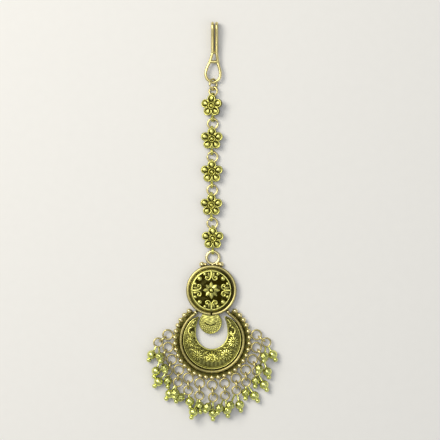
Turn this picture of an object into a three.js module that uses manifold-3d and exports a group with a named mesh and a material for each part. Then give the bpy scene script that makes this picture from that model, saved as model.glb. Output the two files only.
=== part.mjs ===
// Maang tikka in antique brass, lying flat on its back. Millimetres.
// The XY plane is the surface it lies on, +Z is up and +Y runs from the pendant to the hair hook.
// Pieces are laid out from the medallion's centre, and the finished group is moved so that its
// origin is the middle of the underside of its bounding box.
import * as THREE from "three";
import { mergeVertices } from "three/addons/utils/BufferGeometryUtils.js";
import Module from "manifold-3d";

const wasm = await Module();
wasm.setup();
const { Manifold } = wasm;

// Clearances
const setGap = 0.3; // between a set piece and the metal round it
const linkGap = 0.3; // between the wires of two links that hold each other
const restGap = 0.05; // between a loose piece and the surface it lies on

// Medallion
const medallionRadius = 8.3;
const rimWidth = 0.95;
const rimHeight = 2.5;
const backPlate = 0.9;
const topLoopRadius = 2.05; // to the middle of the wire
const topLoopWire = 0.45; // wire radius
const largeGranule = 0.88;
const smallGranule = 0.58;
const largeGranuleAngle = 20; // degrees from the top loop, round the medallion
const smallGranuleAngle = 12.5;
const granuleLift = 0.1; // underside of a large granule

// Rosette in the medallion
const rosetteRise = 1.2; // from its underside to its edge
const rosetteLip = 0.35;
const rosetteDish = 0.35; // depth of the ground below the edge
const flangeWidth = 0.6;
const flangeDrop = 0.45; // from the rosette's edge down to its rim
const starRadius = 2.6;
const starPoints = 8;
const reliefHeight = 0.5;
const rosettePearl = 0.75;
const rosetteSeed = 0.55;
const scrollRadius = 0.95;

// Crescent
const ringRadius = 10.35; // to the middle of the ring wire
const ringWire = 0.5;
const crescentTuck = 2.15; // how far the ring reaches up past the medallion's lower edge
const ringEndOffset = 1.5; // from the medallion's edge to the middle of a ring end
const bandWidth = 2.1; // flat band, from the middle of the ring wire to the band's outer edge
const bandThickness = 1.0;
const bandFloor = 0.5; // underside of the band
const edgeGranule = 0.75;
const edgeGranuleCount = 31;
const edgeGranuleStep = 9.45; // degrees
const plateRadius = ringRadius - ringWire - setGap;
const plateWidth = 4.35; // how much smaller the opening is than the plate, half across
const windowRadius = plateRadius - plateWidth;
const windowTuck = 0.55; // how far the opening's egg shape stays below the plate's radius
const windowHeight = plateRadius - windowTuck; // from the middle of the opening to its top
const windowRise = 2.35; // middle of the opening above the middle of the ring
const hornAngle = 38; // degrees from straight up to a horn's tip, seen from the opening's middle
const hornTaper = 32; // degrees over which a horn narrows to its tip
const hornInset = 0.5; // how far a horn's tip draws in from the plate's outer circle
const windowShift = 0.15; // the opening lies a little to the left of the ring's middle
const plateThickness = 1.0;
const plateFloor = 0.4;
const domeRise = 1.5;
const daisyRadius = 1.25;
const crescentShift = 0.25; // the crescent hangs a little to the right

// Moon boss between the horns
const bossRadius = 3.7;
const bossShift = -0.3;
const bossThickness = 1.4;
const bossDrop = 10.65; // below the medallion's centre

// Loops, links and bead drops of the fringe
const fringeCount = 13;
const fringeStep = 16.2; // degrees
const loopRadius = 1.58; // to the middle of the wire
const fringeWire = 0.24;
const solderPad = 0.7; // width of the solder between the band and a loop
const loopLevel = bandFloor + bandThickness * 0.78; // height of the soldered loops
const dropLinkRadius = 1.32;
const dropRingRadius = 1.42;
const beadRadius = 1.45;
const endBeadRadius = 0.72;
const beadNeck = 0.3; // radius of a bead's neck

// Chain of flowers
const petalCount = 5;
const petalRadius = 1.42;
const petalReach = 2.25; // from the flower's centre to a petal's centre
const flowerLevel = 1.66; // underside of the flowers
const flowerThickness = 0.6;
const petalDome = 0.55;
const petalWrap = 105; // degrees of a petal's edge to either side of its outermost point
const flowerBoss = 0.95;
const bailHole = 0.78;
const bailWall = 0.26;
const bailWidth = 0.8;
const bailDrop = 4.32; // from a flower's centre to the middle of its lower bail
const bailRise = 3.3; // from a flower's centre to the middle of its upper bail
const neckWidth = 0.9;
const jumpRingRadius = 1.65;
const jumpRingWire = 0.32;

// Hair hook and its rings
const hookWire = 0.46;
const hookLinkRadius = 1.4;
const hookLinkWire = 0.28;
const hookRingRadius = 1.75;
const hookRingWire = 0.32;
const eyeHalfWidth = 2.4;
const eyeLength = 7.0; // up to the solder between its wires
const eyeNeck = 2.6; // from the solder to where the wires run side by side
const hookLength = 20.4;
// The eye from its left wire round to its right one: shares of its length and of its half width
const eyeShape = [
  [0.97, -0.42], [0.8, -0.68], [0.6, -0.9], [0.38, -1], [0.14, -0.76], [0, 0],
  [0.14, 0.8], [0.38, 1], [0.6, 0.92], [0.8, 0.76], [0.97, 0.66],
];
const hookPitch = 1.36; // between the two parallel wires
const hookBend = 1.25; // radius of the folded tip
const hookReturn = 9.5; // length of the folded part
const hookGap = 0.3; // between the rings' wires and the hook's eye
const hookRingLean = 50; // degrees about the chain's own line

// Facets
const beadSides = 10;
const granuleSides = 8;
const petalSides = 8;
const petalCorners = 5; // on the outer edge of a petal
const linkSides = 5; // round a link's wire
const linkSteps = 10; // round a small link
const roundSides = 24;
const bandSteps = 26; // round the crescent's band
const plateSteps = 24; // from horn to horn
const hookSteps = 40; // along the hook's wire
const eyeSteps = 20; // along its eye

const brass = {
  chain: new THREE.MeshStandardMaterial({ color: 0xa9a467, roughness: 0.38, metalness: 1 }),
  bright: new THREE.MeshStandardMaterial({ color: 0xb9a468, roughness: 0.32, metalness: 1 }),
  pendant: new THREE.MeshStandardMaterial({ color: 0x9c9858, roughness: 0.42, metalness: 1 }),
  relief: new THREE.MeshStandardMaterial({ color: 0xb4b268, roughness: 0.4, metalness: 1 }),
  bead: new THREE.MeshStandardMaterial({ color: 0xc4cc86, roughness: 0.33, metalness: 1 }),
};

const degrees = Math.PI / 180;

// A point on the plan, at an angle in degrees clockwise from straight down (-Y) towards +X.
function below(centre, angle, reach) {
  const turn = angle * degrees;
  return new THREE.Vector2(centre.x + reach * Math.sin(turn), centre.y - reach * Math.cos(turn));
}

// Merges shared corners, drops empty triangles and makes the faces point outwards.
function closedSolid(geometry) {
  const bare = geometry.clone();
  bare.deleteAttribute("normal");
  bare.deleteAttribute("uv");
  const merged = mergeVertices(bare, 1e-4);
  const place = merged.attributes.position;
  const index = merged.index.array;
  const kept = [];
  let volume = 0;
  const [a, b, c] = [new THREE.Vector3(), new THREE.Vector3(), new THREE.Vector3()];
  for (let i = 0; i < index.length; i += 3) {
    const [p, q, r] = [index[i], index[i + 1], index[i + 2]];
    if (p === q || q === r || r === p) continue;
    kept.push(p, q, r);
    a.fromBufferAttribute(place, p);
    b.fromBufferAttribute(place, q);
    c.fromBufferAttribute(place, r);
    volume += a.dot(b.cross(c));
  }
  if (volume < 0) kept.reverse();
  const triVerts = Uint32Array.from(kept);
  const vertProperties = Float32Array.from(place.array);
  return new Manifold(new wasm.Mesh({ numProp: 3, vertProperties, triVerts }));
}

function fused(geometries) {
  return Manifold.union(geometries.map(closedSolid));
}

function geometryOf(solid) {
  const mesh = solid.getMesh();
  const geometry = new THREE.BufferGeometry();
  geometry.setAttribute("position", new THREE.BufferAttribute(mesh.vertProperties, 3));
  geometry.setIndex(new THREE.BufferAttribute(mesh.triVerts, 1));
  geometry.computeVertexNormals();
  return geometry;
}

function named(name, solid, material, place = new THREE.Vector3()) {
  const mesh = new THREE.Mesh(geometryOf(solid), material);
  mesh.name = name;
  mesh.position.copy(place);
  return mesh;
}

// A granule with its poles up and down.
function ball(radius, x, y, z) {
  return new THREE.SphereGeometry(radius, granuleSides, 4).rotateX(Math.PI / 2).translate(x, y, z);
}

// A granule soldered on a flat face at the given height: the upper part of a ball.
function dome(radius, x, y, level) {
  const profile = [[0, -0.15], [0.98, -0.15], [0.78, 0.62], [0, 1]];
  const scaled = profile.map(([reach, height]) => [reach * radius, height * radius]);
  return turned(scaled, petalSides).translate(x, y, level);
}

// A profile of [radius, height] pairs turned about the vertical axis.
function turned(profile, sides = roundSides) {
  const points = profile.map(([radius, height]) => new THREE.Vector2(radius, height));
  return new THREE.LatheGeometry(points, sides).rotateX(Math.PI / 2);
}

function flatRing(radius, wire, sides = linkSides, steps = linkSteps) {
  return new THREE.TorusGeometry(radius, wire, sides, steps);
}

// A ring standing on edge, its plane holding the vertical and the given direction on the plan.
function standingRing(radius, wire, angle) {
  const ring = flatRing(radius, wire).rotateX(Math.PI / 2);
  return ring.rotateZ((90 - angle) * -degrees);
}

// A round wire along a path of points.
function wireAlong(points, wire, steps) {
  const outline = new THREE.Shape();
  for (let i = 0; i < linkSides; i += 1) {
    const turn = (i / linkSides) * 2 * Math.PI;
    const corner = [wire * Math.cos(turn), wire * Math.sin(turn)];
    if (i === 0) outline.moveTo(...corner);
    else outline.lineTo(...corner);
  }
  const extrudePath = new THREE.CatmullRomCurve3(points, false, "centripetal");
  return new THREE.ExtrudeGeometry(outline, { extrudePath, steps, bevelEnabled: false });
}

// A short band ring standing across the chain, through which a wire passes along X.
function bail(y) {
  const outer = bailHole + bailWall;
  const half = bailWidth / 2;
  const profile = [
    [bailHole, -half], [outer, -half], [outer, half], [bailHole, half], [bailHole, -half],
  ];
  return turned(profile, 8).rotateY(Math.PI / 2).translate(0, y, outer);
}
const bailLevel = bailHole + bailWall;

// Cast flower: five domed petals with a boss, soldered on its two bails.
function flowerSolid() {
  const top = flowerLevel + flowerThickness;
  const pieces = [];
  const outline = new THREE.Shape();
  for (let i = 0; i < petalCount; i += 1) {
    const facing = 180 + (i * 360) / petalCount;
    const centre = below({ x: 0, y: 0 }, facing, petalReach);
    for (let k = 0; k < petalCorners; k += 1) {
      const turn = facing - petalWrap + (2 * petalWrap * k) / (petalCorners - 1);
      const corner = below(centre, turn, petalRadius);
      if (i + k === 0) outline.moveTo(corner.x, corner.y);
      else outline.lineTo(corner.x, corner.y);
    }
    const petal = turned([
      [0, -flowerThickness / 2], [petalRadius * 0.85, -flowerThickness / 2],
      [petalRadius * 0.62, petalDome * 0.8], [0, petalDome],
    ], petalSides);
    pieces.push(petal.translate(centre.x, centre.y, top));
  }
  const plate = new THREE.ExtrudeGeometry(outline, { depth: flowerThickness, bevelEnabled: false });
  pieces.push(plate.translate(0, 0, flowerLevel));
  pieces.push(turned([
    [0, flowerLevel + flowerThickness / 2], [flowerBoss, flowerLevel + flowerThickness / 2],
    [flowerBoss, top + petalDome * 0.8], [0, top + petalDome * 1.5],
  ], petalSides));
  pieces.push(bail(bailRise), bail(-bailDrop));
  const neckEnd = bailDrop - bailHole - bailWall / 2;
  const neckStart = petalReach * 0.5;
  const neckBottom = bailLevel + bailWall / 2;
  const neckTop = flowerLevel + flowerThickness / 2;
  const neck = new THREE.BoxGeometry(neckWidth, neckEnd - neckStart, neckTop - neckBottom);
  pieces.push(neck.translate(0, -(neckStart + neckEnd) / 2, (neckTop + neckBottom) / 2));
  return fused(pieces);
}

// Places along the chain, from the medallion's top loop up to the hook. The sideways places follow
// the loose way in which the chain lies.
const chainSway = {
  topLoop: 0.45,
  flowers: [0.36, 0.13, 0.13, 0, 0.43],
  rings: [0.45, 0.36, 0.3, 0.3],
  hookLink: 0.6,
  hookRing: 0.6,
  eye: 0.5,
  wires: 1.05,
};
const firstFlowerTilt = 22; // degrees about the chain's own line

const topLoopY = medallionRadius + topLoopWire + topLoopRadius - topLoopWire * 0.1;
const ringSpan = bailRise + jumpRingRadius;

function chainPlaces() {
  const flowers = [];
  const rings = [];
  let y = topLoopY + topLoopRadius + bailDrop;
  for (let i = petalCount - 1; i >= 0; i -= 1) {
    flowers[i] = new THREE.Vector2(chainSway.flowers[i], y);
    if (i > 0) rings[i - 1] = new THREE.Vector2(chainSway.rings[i - 1], y + ringSpan);
    y += ringSpan + jumpRingRadius + bailDrop;
  }
  return { flowers, rings };
}

// Medallion bezel, back plate, top loop and the granules soldered round it.
function medallionPieces() {
  const wallInner = medallionRadius - rimWidth;
  const shoulder = rimHeight - rimWidth * 0.35;
  const bezel = turned([
    [0, 0], [medallionRadius, 0], [medallionRadius, shoulder],
    [medallionRadius - rimWidth * 0.3, rimHeight], [medallionRadius - rimWidth * 0.7, rimHeight],
    [wallInner, shoulder], [wallInner, backPlate], [0, backPlate],
  ]);
  const loop = flatRing(topLoopRadius, topLoopWire, 6, 14);
  loop.translate(chainSway.topLoop, topLoopY, bailLevel);
  const pieces = [bezel, loop];
  pieces.push(ball(topLoopWire * 1.3, chainSway.topLoop, medallionRadius, bailLevel));
  for (const side of [-1, 1]) {
    const smallReach = medallionRadius + smallGranule * 0.7;
    const largeReach = medallionRadius + largeGranule * 0.85;
    const small = below({ x: 0, y: 0 }, 180 - side * smallGranuleAngle, smallReach);
    const large = below({ x: 0, y: 0 }, 180 - side * largeGranuleAngle, largeReach);
    pieces.push(ball(smallGranule, small.x, small.y, bailLevel));
    pieces.push(ball(largeGranule, large.x, large.y, largeGranule + granuleLift));
  }
  return pieces;
}

const crescentCentre = new THREE.Vector2(
  crescentShift, -(medallionRadius + ringRadius - crescentTuck),
);

// Angle, from straight up, at which the ring wire ends beside the medallion.
function ringEndAngle() {
  const span = crescentCentre.length();
  const reach = medallionRadius + ringEndOffset;
  const cosine = (span ** 2 + ringRadius ** 2 - reach ** 2) / (2 * span * ringRadius);
  return Math.acos(Math.min(1, cosine)) / degrees;
}

// Part of a turned ring about the crescent's centre, open at the top.
function openRing(profile, openAngle, steps) {
  const outline = profile.map(([radius, height]) => new THREE.Vector2(radius, height));
  const sweep = 360 - 2 * openAngle;
  const rows = [];
  for (let i = 0; i <= steps; i += 1) {
    const angle = openAngle - 180 + (sweep * i) / steps;
    rows.push(profile.map(([radius, height]) => {
      const place = below(crescentCentre, angle, radius);
      return [place.x, place.y, height];
    }));
  }
  const caps = THREE.ShapeUtils.triangulateShape(outline, []);
  return loft(rows, caps);
}

// Joins equal closed sections, given as rows of points, into a solid with the given end faces.
function loft(rows, caps) {
  const width = rows[0].length;
  const positions = rows.flat(2);
  const index = [];
  for (let i = 0; i < rows.length - 1; i += 1) {
    for (let j = 0; j < width; j += 1) {
      const next = (j + 1) % width;
      const [a, b] = [i * width + j, i * width + next];
      index.push(a, b, b + width, a, b + width, a + width);
    }
  }
  const last = (rows.length - 1) * width;
  for (const [a, b, c] of caps) {
    index.push(c, b, a);
    index.push(last + a, last + b, last + c);
  }
  const geometry = new THREE.BufferGeometry();
  geometry.setAttribute("position", new THREE.Float32BufferAttribute(positions, 3));
  geometry.setIndex(index);
  return geometry;
}

const bandOuter = ringRadius + bandWidth;
const edgeReach = bandOuter - edgeGranule * 0.2;
const padReach = bandOuter + edgeGranule / 4;
const padLength = edgeGranule * 1.5;
const loopReach = edgeReach + edgeGranule + loopRadius + fringeWire * 0.4;

function fringeAngle(i) {
  return (i - (fringeCount - 1) / 2) * fringeStep;
}

// Crescent ring wire, its band, the beaded edge, the loops and the granules at the ring's ends.
function crescentPieces() {
  const openAngle = ringEndAngle();
  const bandTop = bandFloor + bandThickness;
  const pieces = [openRing([
    [ringRadius - ringWire, bandFloor], [bandOuter, bandFloor], [bandOuter, bandTop],
    [ringRadius + ringWire, bandTop], [ringRadius + ringWire * 0.8, bandTop + ringWire * 0.7],
    [ringRadius, bandTop + ringWire], [ringRadius - ringWire * 0.8, bandTop + ringWire * 0.7],
    [ringRadius - ringWire, bandTop],
  ], openAngle, bandSteps)];
  for (let i = 0; i < edgeGranuleCount; i += 1) {
    const angle = (i - (edgeGranuleCount - 1) / 2) * edgeGranuleStep;
    const place = below(crescentCentre, angle, edgeReach);
    pieces.push(ball(edgeGranule, place.x, place.y, bandTop));
  }
  for (let i = 0; i < fringeCount; i += 1) {
    const place = below(crescentCentre, fringeAngle(i), loopReach);
    const loop = flatRing(loopRadius, fringeWire).rotateZ((90 + fringeAngle(i)) * degrees);
    pieces.push(loop.translate(place.x, place.y, loopLevel));
    const joint = below(crescentCentre, fringeAngle(i), padReach);
    const pad = new THREE.BoxGeometry(solderPad, padLength, bandThickness / 2);
    pad.rotateZ(fringeAngle(i) * degrees);
    pieces.push(pad.translate(joint.x, joint.y, bandFloor + bandThickness / 2));
  }
  for (const side of [-1, 1]) {
    const end = below(crescentCentre, 180 - side * openAngle, ringRadius);
    const joint = end.clone().setLength(medallionRadius + largeGranule * 0.8);
    pieces.push(ball(largeGranule, joint.x, joint.y, largeGranule + granuleLift));
  }
  return pieces;
}

function pendantFrame() {
  return fused([...medallionPieces(), ...crescentPieces()]);
}

// Embossed rosette: a dished disc with a sloping flange, star, scrolls and pearls.
function rosetteSolid() {
  const outer = medallionRadius - rimWidth - setGap;
  const inner = outer - flangeWidth;
  const floor = backPlate + setGap;
  const edge = floor + rosetteRise;
  const ground = edge - rosetteDish;
  const disc = turned([
    [0, floor], [outer, floor], [outer, edge - flangeDrop], [inner, edge],
    [inner - rosetteLip, edge], [inner - rosetteLip * 1.6, ground], [0, ground + rosetteDish * 0.5],
  ]);
  const pieces = [disc];
  const star = new THREE.Shape();
  for (let i = 0; i < 2 * starPoints; i += 1) {
    const turn = (i / starPoints) * Math.PI;
    const reach = i % 2 === 0 ? starRadius : starRadius * 0.6;
    const corner = [reach * Math.cos(turn), reach * Math.sin(turn)];
    if (i === 0) star.moveTo(...corner);
    else star.lineTo(...corner);
  }
  const relief = new THREE.ExtrudeGeometry(star, { depth: reliefHeight + rosetteDish, bevelEnabled: false });
  pieces.push(relief.translate(0, 0, ground - rosetteDish * 0.3));
  pieces.push(dome(rosettePearl, 0, 0, ground + reliefHeight));
  for (let quarter = 0; quarter < 4; quarter += 1) {
    const axis = quarter * 90;
    const middle = below({ x: 0, y: 0 }, axis + 45, inner * 0.83);
    pieces.push(dome(rosettePearl, middle.x, middle.y, ground + rosettePearl * 0.2));
    for (const side of [-1, 1]) {
      const seed = below({ x: 0, y: 0 }, axis + side * 22.5, inner * 0.89);
      pieces.push(dome(rosetteSeed, seed.x, seed.y, ground + rosetteSeed * 0.25));
      const curl = below({ x: 0, y: 0 }, axis + side * 13.5, inner * 0.66);
      const scroll = new THREE.SphereGeometry(scrollRadius, petalSides, 2).rotateX(Math.PI / 2);
      pieces.push(scroll.scale(1, 1, 0.5).translate(curl.x, curl.y, ground));
    }
  }
  return fused(pieces);
}

// Disc between the horns, cut along the medallion's edge, with a raised rim and a stepped field.
function bossSolid() {
  const disc = turned([
    [0, bandFloor], [bossRadius, bandFloor], [bossRadius, bandFloor + bossThickness],
    [bossRadius * 0.9, bandFloor + bossThickness], [bossRadius * 0.86, bandFloor + bossThickness * 0.85],
    [0, bandFloor + bossThickness * 1.15],
  ], roundSides).translate(bossShift, -bossDrop, 0);
  const clear = medallionRadius + setGap;
  const medallionSpace = turned([[0, -1], [clear, -1], [clear, rimHeight * 2], [0, rimHeight * 2]], 48);
  return closedSolid(disc).subtract(closedSolid(medallionSpace));
}

// Distance from the opening's middle to its egg-shaped edge, and to the plate's outer edge, at an
// angle from straight down.
const windowCentre = new THREE.Vector2(crescentCentre.x - windowShift, crescentCentre.y + windowRise);
function windowReach(angle) {
  const [sine, cosine] = [Math.sin(angle * degrees), Math.cos(angle * degrees)];
  if (cosine >= 0) return windowRadius;
  return 1 / Math.hypot(sine / windowRadius, cosine / windowHeight);
}
function plateReach(angle) {
  const toward = below({ x: 0, y: 0 }, angle, 1);
  const offset = windowCentre.clone().sub(crescentCentre);
  const along = offset.dot(toward);
  const intoHorn = Math.max(0, 1 - (180 - hornAngle - Math.abs(angle)) / hornTaper);
  const radius = plateRadius - hornInset * intoHorn ** 2;
  return -along + Math.sqrt(along ** 2 - offset.lengthSq() + radius ** 2);
}

// Rows of the crescent's dome: share of the width from the inner edge, and share of the rise.
const domeProfile = [
  { across: 0, rise: 0.12 },
  { across: 0.1, rise: 0.2 },
  { across: 0.35, rise: 0.9 },
  { across: 0.6, rise: 1 },
  { across: 0.9, rise: 0.12 },
  { across: 1, rise: 0.12 },
];

// Raised flowers on the crescent: angle from straight down and share of the width.
const daisies = [
  { angle: 0, across: 0.42 },
  { angle: 37, across: 0.45 },
  { angle: -37, across: 0.45 },
  { angle: 76, across: 0.5 },
  { angle: -76, across: 0.5 },
];

function crescentSolid() {
  const floor = plateFloor;
  const top = floor + plateThickness;
  const widest = plateReach(0) - windowReach(0);
  const rows = [];
  for (let i = 0; i <= plateSteps; i += 1) {
    const angle = (180 - hornAngle) * (2 * (i / plateSteps) - 1);
    const [inside, outside] = [windowReach(angle), plateReach(angle)];
    const share = Math.sqrt((outside - inside) / widest);
    const section = domeProfile.map(({ across, rise }) => {
      const place = below(windowCentre, angle, inside + (outside - inside) * across);
      return [place.x, place.y, top + domeRise * rise * share];
    });
    const [under, last] = [section[0], section[section.length - 1]];
    section.reverse();
    section.push([under[0], under[1], floor], [last[0], last[1], floor]);
    rows.push(section);
  }
  const outline = domeProfile.map(({ across, rise }) => new THREE.Vector2(across, 1 + rise));
  outline.reverse();
  outline.push(new THREE.Vector2(0, 0), new THREE.Vector2(1, 0));
  const caps = THREE.ShapeUtils.triangulateShape(outline, []);
  const solid = closedSolid(loft(rows, caps));
  const flowers = daisies.map(({ angle, across }) => {
    const [inside, outside] = [windowReach(angle), plateReach(angle)];
    const share = Math.sqrt((outside - inside) / widest);
    const place = below(windowCentre, angle, inside + (outside - inside) * across);
    const radius = daisyRadius * share;
    const flower = new THREE.SphereGeometry(radius, petalSides, 2).rotateX(Math.PI / 2);
    return flower.scale(1, 1, 0.4).translate(place.x, place.y, top + domeRise * share * 0.85);
  });
  return Manifold.union([solid, ...flowers.map(closedSolid)]);
}

// How each drop of the fringe hangs, from left to right. Angles are in degrees from straight down,
// reaches are shares of the bead's radius from the lower ring's middle, and lifts are shares of the
// bead's diameter by which a bead lies over its neighbours.
const drops = [
  { hang: -51, beads: [[8, 3.1, 0.85], [-28, 3.15, 0]] },
  { hang: -34, beads: [[20, 2.41, 0.86], [-20, 3.24, 0]] },
  { hang: -18, beads: [[0, 2.2, 0], [-42, 3.2, 0]] },
  { hang: -4, beads: [[-12, 2.41, 0.76], [-35, 3.2, 0]] },
  { hang: 0, beads: [[-48, 2.35, 0], [8, 2.5, 0]] },
  { hang: -2, beads: [[4, 2.41, 0], [-20, 3.9, 0.5]] },
  { hang: 4, beads: [[-30, 2.41, 0.59], [0, 3.59, 0]] },
  { hang: 2, beads: [[-24, 2.97, 0.55], [8, 3.31, 0]] },
  { hang: 2, beads: [[-24, 3.59, 0.79], [12, 3.31, 0]] },
  { hang: 2, beads: [[-2, 2.35, 0], [32, 3.59, 0]] },
  { hang: 20, beads: [[-6, 2.21, 0], [28, 3.52, 0]] },
  { hang: 34, beads: [[-22, 2.55, 0.9], [16, 3.31, 0]] },
  { hang: 52, beads: [[-8, 3.1, 0.83], [28, 3.15, 0]] },
];

const linkLevel = dropLinkRadius + fringeWire + restGap;
const dropRingLevel = beadRadius + restGap;
const linkStart = loopRadius - 2 * fringeWire - linkGap;
const linkReach = linkStart + dropLinkRadius;
const dropRingReach = linkReach + dropLinkRadius - 2 * fringeWire - linkGap + dropRingRadius;

function dropLink(i) {
  const loop = below(crescentCentre, fringeAngle(i), loopReach);
  const place = below(loop, drops[i].hang, linkReach);
  const ring = standingRing(dropLinkRadius, fringeWire, drops[i].hang);
  return closedSolid(ring.translate(place.x, place.y, linkLevel));
}

// A ghungroo-like bead turned about its own line: neck, round bead and small end bead.
function beadSolid(from, to) {
  const start = from.distanceTo(to) - beadRadius;
  const last = start + 2 * beadRadius;
  const bead = new THREE.LatheGeometry([
    new THREE.Vector2(0, 0),
    new THREE.Vector2(beadNeck, start + beadRadius * 0.04),
    new THREE.Vector2(beadRadius * 0.78, start + beadRadius * 0.38),
    new THREE.Vector2(beadRadius, start + beadRadius),
    new THREE.Vector2(beadRadius * 0.78, start + beadRadius * 1.62),
    new THREE.Vector2(endBeadRadius * 0.6, last - beadRadius * 0.04),
    new THREE.Vector2(endBeadRadius, last + endBeadRadius * 0.75),
    new THREE.Vector2(0, last + endBeadRadius * 1.7),
  ], beadSides);
  const turn = new THREE.Quaternion().setFromUnitVectors(
    new THREE.Vector3(0, 1, 0), to.clone().sub(from).normalize(),
  );
  bead.applyQuaternion(turn);
  return bead.translate(from.x, from.y, from.z);
}

// A lower ring and its two beads, each with its neck on the ring.
function beadDrop(i) {
  const loop = below(crescentCentre, fringeAngle(i), loopReach);
  const middle = below(loop, drops[i].hang, dropRingReach);
  const pieces = [flatRing(dropRingRadius, fringeWire).translate(middle.x, middle.y, dropRingLevel)];
  for (const [angle, reach, lift] of drops[i].beads) {
    const start = below(middle, angle, dropRingRadius);
    const bead = below(middle, angle, reach * beadRadius);
    const from = new THREE.Vector3(start.x, start.y, dropRingLevel);
    const to = new THREE.Vector3(bead.x, bead.y, dropRingLevel + lift * 2 * beadRadius);
    pieces.push(beadSolid(from, to));
  }
  return fused(pieces);
}

// A jump ring turned about the chain's line by an angle in degrees.
function leaningRing(radius, wire, lean) {
  return closedSolid(flatRing(radius, wire, linkSides, 12).rotateY(-lean * degrees));
}

const hookRingLevel = hookRingRadius * Math.sin(hookRingLean * degrees) + hookRingWire + restGap;

// Hair hook: up from the eye, over the folded tip, round the end of the fold and back.
function hookSolid(base) {
  const half = hookPitch / 2;
  const eyeLevel = hookRingLevel;
  const bendTop = 2 * hookBend + hookWire + restGap;
  const top = base.y + hookLength - hookWire;
  const joint = base.y + eyeLength + hookWire;
  const lean = base.x;
  const wires = chainSway.wires;
  const neckLevel = eyeLevel + ((bendTop - eyeLevel) * eyeNeck) / (top - hookBend - joint);
  const neck = (x) => new THREE.Vector3(wires + x * half, joint + eyeNeck, neckLevel);
  const side = (x) => [
    neck(x),
    new THREE.Vector3(wires + x * half, top - hookBend, bendTop),
    new THREE.Vector3(wires + x * half, top - hookBend * 0.3, bendTop - hookBend * 0.3),
    new THREE.Vector3(wires + x * half, top, bendTop - hookBend),
    new THREE.Vector3(wires + x * half, top - hookBend * 0.3, bendTop - hookBend * 1.7),
    new THREE.Vector3(wires + x * half, top - hookBend, hookWire + restGap),
    new THREE.Vector3(wires + x * half, top - hookBend * 2, hookWire + restGap),
    new THREE.Vector3(wires + x * half, top - hookReturn + half, hookWire + restGap),
  ];
  const tip = new THREE.Vector3(wires, top - hookReturn, hookWire + restGap);
  const eye = eyeShape.map(([share, width]) => new THREE.Vector3(
    lean + width * eyeHalfWidth, base.y + hookWire + share * eyeLength, eyeLevel,
  ));
  const rise = [...side(-1), tip, ...side(1).reverse()];
  const loop = [neck(-1), ...eye, neck(1)];
  const solder = [eye[0], eye[eye.length - 1]];
  return fused([
    wireAlong(rise, hookWire, hookSteps),
    wireAlong(loop, hookWire, eyeSteps),
    ball(hookWire, neck(-1).x, neck(-1).y, neckLevel),
    ball(hookWire, neck(1).x, neck(1).y, neckLevel),
    wireAlong(solder, hookWire * 1.15, 2),
  ]);
}

function build() {
  const model = new THREE.Group();
  model.add(named("pendant_frame", pendantFrame(), brass.pendant));
  model.add(named("medallion_rosette", rosetteSolid(), brass.relief));
  model.add(named("moon_boss", bossSolid(), brass.relief));
  model.add(named("crescent_dome", crescentSolid(), brass.relief));
  for (let i = 0; i < fringeCount; i += 1) {
    const number = String(i + 1).padStart(2, "0");
    model.add(named(`drop_link_${number}`, dropLink(i), brass.bright));
    model.add(named(`bead_drop_${number}`, beadDrop(i), brass.bead));
  }
  const { flowers, rings } = chainPlaces();
  const flower = flowerSolid();
  flowers.forEach((place, i) => {
    const mesh = named(`flower_link_${i + 1}`, flower, brass.chain);
    mesh.position.set(place.x, place.y, 0);
    if (i === 0) {
      const tilt = -firstFlowerTilt * degrees;
      mesh.rotation.y = tilt;
      mesh.position.x += -bailLevel * Math.sin(tilt);
      mesh.position.z = (bailWidth / 2) * Math.abs(Math.sin(tilt));
    }
    model.add(mesh);
  });
  rings.forEach((place, i) => {
    const ring = leaningRing(jumpRingRadius, jumpRingWire, 0);
    const at = new THREE.Vector3(place.x, place.y, bailLevel);
    model.add(named(`jump_ring_${i + 1}`, ring, brass.chain, at));
  });
  const hookLinkY = flowers[0].y + bailRise + hookLinkRadius;
  const linkLean = firstFlowerTilt;
  const hookLinkLevel = bailLevel + hookLinkWire;
  const linkPlace = new THREE.Vector3(chainSway.hookLink, hookLinkY, hookLinkLevel);
  const hookLink = leaningRing(hookLinkRadius, hookLinkWire, linkLean);
  model.add(named("hook_link", hookLink, brass.bright, linkPlace));
  const ringSpace = hookRingRadius - hookRingWire - hookGap;
  const hookRingY = hookLinkY + hookLinkRadius - hookLinkWire + ringSpace;
  const ringPlace = new THREE.Vector3(chainSway.hookRing, hookRingY, hookRingLevel);
  const hookRing = leaningRing(hookRingRadius, hookRingWire, -hookRingLean);
  model.add(named("hook_ring", hookRing, brass.bright, ringPlace));
  const eyeBase = hookRingY + ringSpace - 2 * hookWire;
  model.add(named("hair_hook", hookSolid({ x: chainSway.eye, y: eyeBase }), brass.bright));
  model.updateMatrixWorld(true);
  const box = new THREE.Box3().setFromObject(model, true);
  const middle = box.getCenter(new THREE.Vector3());
  model.position.set(-middle.x, -middle.y, -box.min.z);
  const part = new THREE.Group();
  part.add(model);
  return part;
}

export default build();
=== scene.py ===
import math

import bmesh
import bpy
import numpy as np
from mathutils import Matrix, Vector


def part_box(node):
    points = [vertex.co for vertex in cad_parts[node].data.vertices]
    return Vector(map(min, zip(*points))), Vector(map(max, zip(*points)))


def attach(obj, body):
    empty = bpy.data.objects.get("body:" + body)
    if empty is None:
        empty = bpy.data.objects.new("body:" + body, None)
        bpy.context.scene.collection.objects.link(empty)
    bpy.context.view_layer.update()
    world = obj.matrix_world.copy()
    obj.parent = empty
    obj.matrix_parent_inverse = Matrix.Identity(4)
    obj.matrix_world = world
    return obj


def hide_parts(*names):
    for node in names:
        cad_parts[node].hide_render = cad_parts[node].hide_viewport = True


bl_info = {
    "name": "Maang tikka in oxidised brass",
    "version": (1, 0, 0),
    "blender": (4, 5, 0),
    "location": "3D View > Sidebar > Tikka",
    "description": "Builds the pieces of a forehead pendant round its packed frame",
    "category": "Add Mesh",
}

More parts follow.
